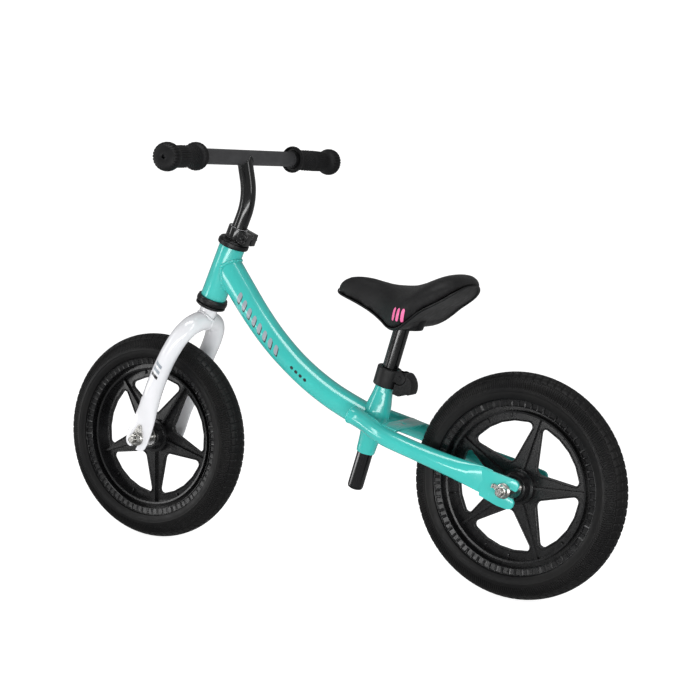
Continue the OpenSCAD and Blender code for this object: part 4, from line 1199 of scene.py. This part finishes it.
def loop_tube(name, curve, r, mat, body, m=12, n=500, wob=None):
    q = resample_3(curve, n)
    for _ in range(4):
        q = np.roll(q, 1, 0) * 0.25 + q * 0.5 + np.roll(q, -1, 0) * 0.25
    t = np.roll(q, -1, 0) - np.roll(q, 1, 0)
    t /= np.linalg.norm(t, axis=1)[:, None] + 1e-12
    up = np.array([0.05, 0.02, 1.0])
    v = up - (t @ up)[:, None] * t
    v /= np.linalg.norm(v, axis=1)[:, None]
    u = np.cross(v, t)
    k = np.arange(m) * TAU / m
    rr = np.full(n, r) if wob is None else r * wob(np.arange(n) / n)
    P = q[:, None, :] + rr[:, None, None] * (np.cos(k)[None, :, None] * u[:, None, :] + np.sin(k)[None, :, None] * v[:, None, :])
    vv, ff = grid(P, close_u=True)
    return new_object(name, vv, ff, mat, body, angle=70)


loop_tube("saddle_piping", seam_curve(0.9, 0.1), 1.2, M_PIPE.m, "saddle", n=700)

# moulded lower shell with an inner hollow and a rim lip
NB = 81
qq = np.linspace(0, math.pi, NB)


def shell_ring(i, inset, lift):
    """a dished lower shell: a rounded rim, then an arched underside"""
    w = max(H_[i] - 2.2 - inset, 0.8) * (1 - 0.06 * min(max((H_[i] - 25) / 30, 0), 1))
    c = np.cos(qq)
    u = np.sign(c) * np.abs(c) ** 0.7
    a_ = np.abs(u)
    rim_u = 1 - min(3.4 / w, 0.5)
    drop = base_drop[i] * np.sqrt(np.clip(1 - np.clip((a_ - rim_u) / (1 - rim_u), 0, 1) ** 2, 0, 1))
    inside = np.clip(a_ / rim_u, 0, 1)
    step = np.clip((rim_u - a_) / 0.05, 0, 1) * min(ARCH[i] / 3, 1) * 1.2
    z = S_[i] + lift - drop + (ARCH[i] * arch_shape(inside) + step)
    return np.stack([np.full(NB, X_[i]), w * u, z], -1)


idx = [i for i in range(n_u) if -213.6 < X_[i] < -11]
outer = np.array([shell_ring(i, 0.0, 1.5) for i in idx])
vv, ff = grid(outer, close_v=True, cap0=True, cap1=True)
sh = new_object("saddle_shell", vv, ff, M_BASE.m, "saddle", angle=50)
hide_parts("saddle_base")
# moulded details in the dished underside: an oval pad ring and ribs
def under_z(x, y):
    i = int(np.argmin(np.abs(X_ - x)))
    r_ = shell_ring(i, 0.0, 1.5)
    o_ = np.argsort(r_[:, 1])
    return float(np.interp(y, r_[o_, 1], r_[o_, 2]))


for sg, tag in ((1, "left"), (-1, "right")):
    q_ = np.linspace(0, TAU, 72, endpoint=False)
    oval = np.array([[-178 + 15 * math.cos(t_), sg * 31 + 10.5 * math.sin(t_), 0] for t_ in q_])
    oval[:, 2] = [under_z(x_, y_) - 0.2 for x_, y_, _ in oval]
    loop_tube(f"shell_oval_{tag}", oval, 0.9, M_BASE.m, "saddle", n=160)
    parts = []
    for off in (-5, 0, 5):
        xs_ = np.linspace(-186, -170, 14)
        yy_ = sg * 31 + off
        ring = [[[x_, yy_ - 0.8, under_z(x_, yy_) + 1.0], [x_, yy_ + 0.8, under_z(x_, yy_) + 1.0], [x_, yy_ + 0.6, under_z(x_, yy_) - 1.0], [x_, yy_ - 0.6, under_z(x_, yy_) - 1.0]] for x_ in xs_]
        parts.append(grid(np.array(ring), cap0=True, cap1=True))
    v, f = merge(parts)
    new_object(f"shell_ribs_{tag}", v, f, M_BASE.m, "saddle", smooth=False)
# socket round the post
sock = lambda p: np.stack([-126 + p[..., 0], p[..., 1], p[..., 2]], -1)
o = lathe("saddle_socket", rounded([(0.05, 345.6), (13.2, 345.6), (15.0, 346.4), (16.0, 349), (17.6, 353), (20.4, 358), (21.0, 362), (0.05, 362)], 1.0), sock, M_BASE.m, "saddle", 96)

# ------------------------------------------------------------------ generic graphics
def main_strip(name, s0, s1, a0, a1, mat, lift=0.16, taper=0.0, ns=40, na=12, skew=0.0):
    """thin printed patch on the main tube between arc lengths s0..s1 and section angles a0..a1 (degrees from +a axis)"""
    d = np.concatenate([[0], np.cumsum(np.linalg.norm(np.diff(main_path, axis=0), axis=1))])
    t = tangents(main_path)
    ref = np.array([0, 1.0, 0])
    vv_ = ref - (t @ ref)[:, None] * t
    vv_ /= np.linalg.norm(vv_, axis=1)[:, None]
    uu_ = np.cross(vv_, t)
    aa, bb = main_ab(main_path[:, 0])
    P = np.zeros((ns, na, 3))
    for j, al in enumerate(np.linspace(a0, a1, na)):
        x = (j / (na - 1)) * 2 - 1
        ss = np.linspace(s0 + taper * (1 - math.sqrt(max(1 - x * x, 0))) + skew * x, s1 - taper * (1 - math.sqrt(max(1 - x * x, 0))) + skew * x, ns)
        al = math.radians(al)
        c = np.stack([np.interp(ss, d, main_path[:, k]) for k in range(3)], 1)
        u3 = np.stack([np.interp(ss, d, uu_[:, k]) for k in range(3)], 1)
        v3 = np.stack([np.interp(ss, d, vv_[:, k]) for k in range(3)], 1)
        a3, b3 = np.interp(ss, d, aa) + lift, np.interp(ss, d, bb) + lift
        P[:, j] = c + (a3 * math.cos(al))[:, None] * u3 + (b3 * math.sin(al))[:, None] * v3
    vv, ff = grid(P, close_v=False)
    o = new_object(name, vv, ff, mat.m, "frame")
    return o


for sg, tag in ((1, "left"), (-1, "right")):
    mid = 90 * sg
    w = 20 * sg
    # a row of slanted bars, then a row of four short dashes, on each side
    for k in range(8):
        s0 = 64 + k * 13.6
        m_ink = M_GREY
        main_strip(f"bar_shadow_{tag}_{k}", s0 + 1.6, s0 + 9.6, mid - w * 0.86, mid + w * 1.02, M_INK, 0.10, 2.0, 10, 12, 3.0)
        main_strip(f"bar_{tag}_{k}", s0, s0 + 7.6, mid - w, mid + w * 0.85, m_ink, 0.16, 2.0, 10, 12, 3.0)
    for k in range(4):
        s0 = 196 + k * 9.0
        main_strip(f"dash_{tag}_{k}", s0, s0 + 5.6, mid - w * 0.34, mid + w * 0.34, M_INK, 0.12, 2.0, 8, 10)

# saddle mark: three slanted rounded dashes printed on the flank
def saddle_print(name, dashes, sg):
    V, F, b = [], [], 0
    n, rows = 28, 5
    for (cx, cz, rx, rz, lean) in dashes:
        q = np.arange(n) * TAU / n
        for f_ in np.linspace(1.0, 0.0, rows):
            for k in range(n):
                sx = np.sign(math.cos(q[k])) * abs(math.cos(q[k])) ** 0.75 * rx * max(f_, 0.02)
                sz = np.sign(math.sin(q[k])) * abs(math.sin(q[k])) ** 0.45 * rz * max(f_, 0.02)
                x, z = cx + sx + lean * sz, cz + sz
                hit, loc, nor, _ = pad_o.ray_cast(Vector((x * MM, sg * 0.12, z * MM)), Vector((0, -sg, 0)))
                if not hit:
                    loc, nor = Vector((x * MM, sg * 0.06, z * MM)), Vector((0, sg, 0))
                loc = loc + nor * 0.00022
                V.append((loc.x / MM, loc.y / MM, loc.z / MM))
        for rr in range(rows - 1):
            for k in range(n):
                F.append((b + rr * n + k, b + rr * n + (k + 1) % n, b + (rr + 1) * n + (k + 1) % n, b + (rr + 1) * n + k))
        b += rows * n
    return new_object(name, np.array(V), F, M_PINK.m, "saddle")


for sg, tag in ((1, "left"), (-1, "right")):
    saddle_print(f"saddle_mark_{tag}", [(-127, 371, 2.7, 9.2, -0.3), (-136, 371, 2.7, 9.2, -0.3), (-145, 371, 2.7, 9.2, -0.3)], sg)

# fork mark: three small slanted dashes down the outside of each leg
def leg_strip(name, z0, z1, a0, a1, mat, sg, lift=0.16, ns=12, na=8, skew=0.0):
    zz = leg_path[:, 2]
    order = np.argsort(zz)
    P = np.zeros((ns, na, 3))
    for j, al in enumerate(np.linspace(a0, a1, na)):
        x = (j / (na - 1)) * 2 - 1
        z = np.linspace(z0, z1, ns) + skew * x
        al = math.radians(al)
        f3 = lambda arr: np.stack([np.interp(z, zz[order][5:], arr[order][5:, k]) for k in range(3)], 1)
        a3, b3 = leg_ab(z)
        P[:, j] = f3(leg_path) + ((a3 + lift) * math.cos(al))[:, None] * f3(u_leg) + ((b3 + lift) * math.sin(al))[:, None] * f3(v_leg)
    at = head if sg > 0 else flip_y(head)
    vv, ff = grid(at(P), close_v=False)
    return new_object(name, vv, ff, mat.m, "fork")


for sg, tag in ((1, "left"), (-1, "right")):
    for k in range(3):
        zt = 118 - k * 8.5
        s_out = 90 if (leg_path[60] + v_leg[60] * 5)[1] > leg_path[60][1] else -90
        leg_strip(f"fork_dash_{tag}_{k}", zt, zt + 4.6, s_out - 26, s_out + 26, M_INK if k == 2 else M_GREY, sg, skew=2.0)

# ------------------------------------------------------------------ materials of the nodes that stay
KEEP = {"headset_bearings": M_STEEL, "clamp_pin": M_CLAMP, "rear_axle": M_ZINC, "front_axle": M_ZINC,
        "rear_tab_washers": M_ZINC, "front_tab_washers": M_ZINC, "rear_axle_spacers": M_ZINC, "front_axle_spacers": M_ZINC,
        "rear_hub_sleeve": M_STEEL, "front_hub_sleeve": M_STEEL, "rear_rim": M_RIM, "front_rim": M_RIM,
        "rear_hub_bearings": M_STEEL, "front_hub_bearings": M_STEEL, "stem_clamp_bolt": M_HEADSET, "stem_plug": M_CLAMP,
        "seat_post_plug": M_CLAMP, "saddle_bolt": M_ZINC}
for nme, mt in KEEP.items():
    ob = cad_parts[nme]
    for sl in ob.material_slots:
        sl.material = mt.m

# ------------------------------------------------------------------ floor, light, camera
def stage_sheet(name, pts, faces, mat):
    me = bpy.data.meshes.new(name)
    me.from_pydata(pts, [], faces)
    me.materials.append(mat)
    o = bpy.data.objects.new(name, me)
    bpy.context.scene.collection.objects.link(o)
    o.visible_glossy = False
    return o


def stage_floor():
    """one white paper sheet: flat on the ground, curved up far behind the bike"""
    m = Mat("floor_white", (0.5, 0.5, 0.5, 1), 0.8)
    m.p.inputs["Specular IOR Level"].default_value = 0.05
    m.color(m.mix(m.noise(3.0, 2.0), (0.50, 0.50, 0.50, 1), (0.51, 0.51, 0.51, 1)))
    m.p.inputs["Emission Color"].default_value = (1, 1, 1, 1)
    m.p.inputs["Emission Strength"].default_value = 0.92
    # local x runs away from the camera, local y across
    prof = [(-7.0, 0.0), (6.0, 0.0)] + [(6.0 + 2.0 * math.sin(q), 2.0 - 2.0 * math.cos(q)) for q in np.linspace(0.08, math.pi / 2, 14)] + [(8.0, 4.0)]
    ys = np.linspace(-9, 9, 13)
    c, s_ = math.cos(math.radians(30.2)), math.sin(math.radians(30.2))
    pts = [(x * s_ - y * c, -x * c - y * s_, z) for (x, z) in prof for y in ys]
    k = len(ys)
    faces = [(i * k + j, i * k + j + 1, (i + 1) * k + j + 1, (i + 1) * k + j) for i in range(len(prof) - 1) for j in range(k - 1)]
    stage_sheet("floor", pts, faces, m.m)


stage_floor()
world = bpy.data.worlds.new("studio")
bpy.context.scene.world = world
world.use_nodes = True
world.node_tree.nodes["Background"].inputs["Color"].default_value = (1, 1, 1, 1)
world.node_tree.nodes["Background"].inputs["Strength"].default_value = 0.24


def area(name, loc, target, size, size_y, power):
    l = bpy.data.lights.new(name, "AREA")
    l.shape = "RECTANGLE"
    l.size, l.size_y = size, size_y
    l.energy = power
    o = bpy.data.objects.new(name, l)
    o.location = loc
    o.rotation_euler = (Vector(target) - Vector(loc)).to_track_quat("-Z", "Y").to_euler()
    bpy.context.scene.collection.objects.link(o)
    return o


area("key_top", (-0.3, 0.7, 2.2), (0, 0, 0.25), 1.5, 0.7, 18)
area("side_rear", (-2.2, 0.5, 1.2), (0, 0, 0.3), 0.4, 1.6, 8)
area("side_front", (1.9, 1.5, 1.2), (0, 0, 0.3), 0.4, 1.5, 9)
area("low_strip", (-0.55, 1.05, 0.10), (0, 0, 0.42), 1.9, 0.17, 7.5)
area("low_front", (1.25, 0.75, 0.12), (0, 0, 0.2), 0.9, 0.2, 2.6)

cam = bpy.data.cameras.new("camera")
cam.sensor_width = 36.0
cam.lens = 1786.83 / 700 * 36.0
cam.clip_start = 0.05
cam.clip_end = 60
yaw, pitch, roll = math.radians(30.238), math.radians(6.143), math.radians(2.3395)
d = np.array([math.sin(yaw) * math.cos(pitch), -math.cos(yaw) * math.cos(pitch), -math.sin(pitch)])
r = np.cross(d, [0, 0, 1]); r /= np.linalg.norm(r)
up = np.cross(r, d)
r2 = math.cos(roll) * r + math.sin(roll) * up
u2 = -math.sin(roll) * r + math.cos(roll) * up
M = Matrix(((r2[0], u2[0], -d[0], -1.27544), (r2[1], u2[1], -d[1], 2.13923), (r2[2], u2[2], -d[2], 0.57930), (0, 0, 0, 1)))
co = bpy.data.objects.new("camera", cam)
co.matrix_world = M
cam.shift_x = -0.67 / 700 * -1
cam.shift_y = 2.18 / 700 * -1
bpy.context.scene.collection.objects.link(co)
bpy.context.scene.camera = co
bpy.context.scene.view_settings.view_transform = "Standard"
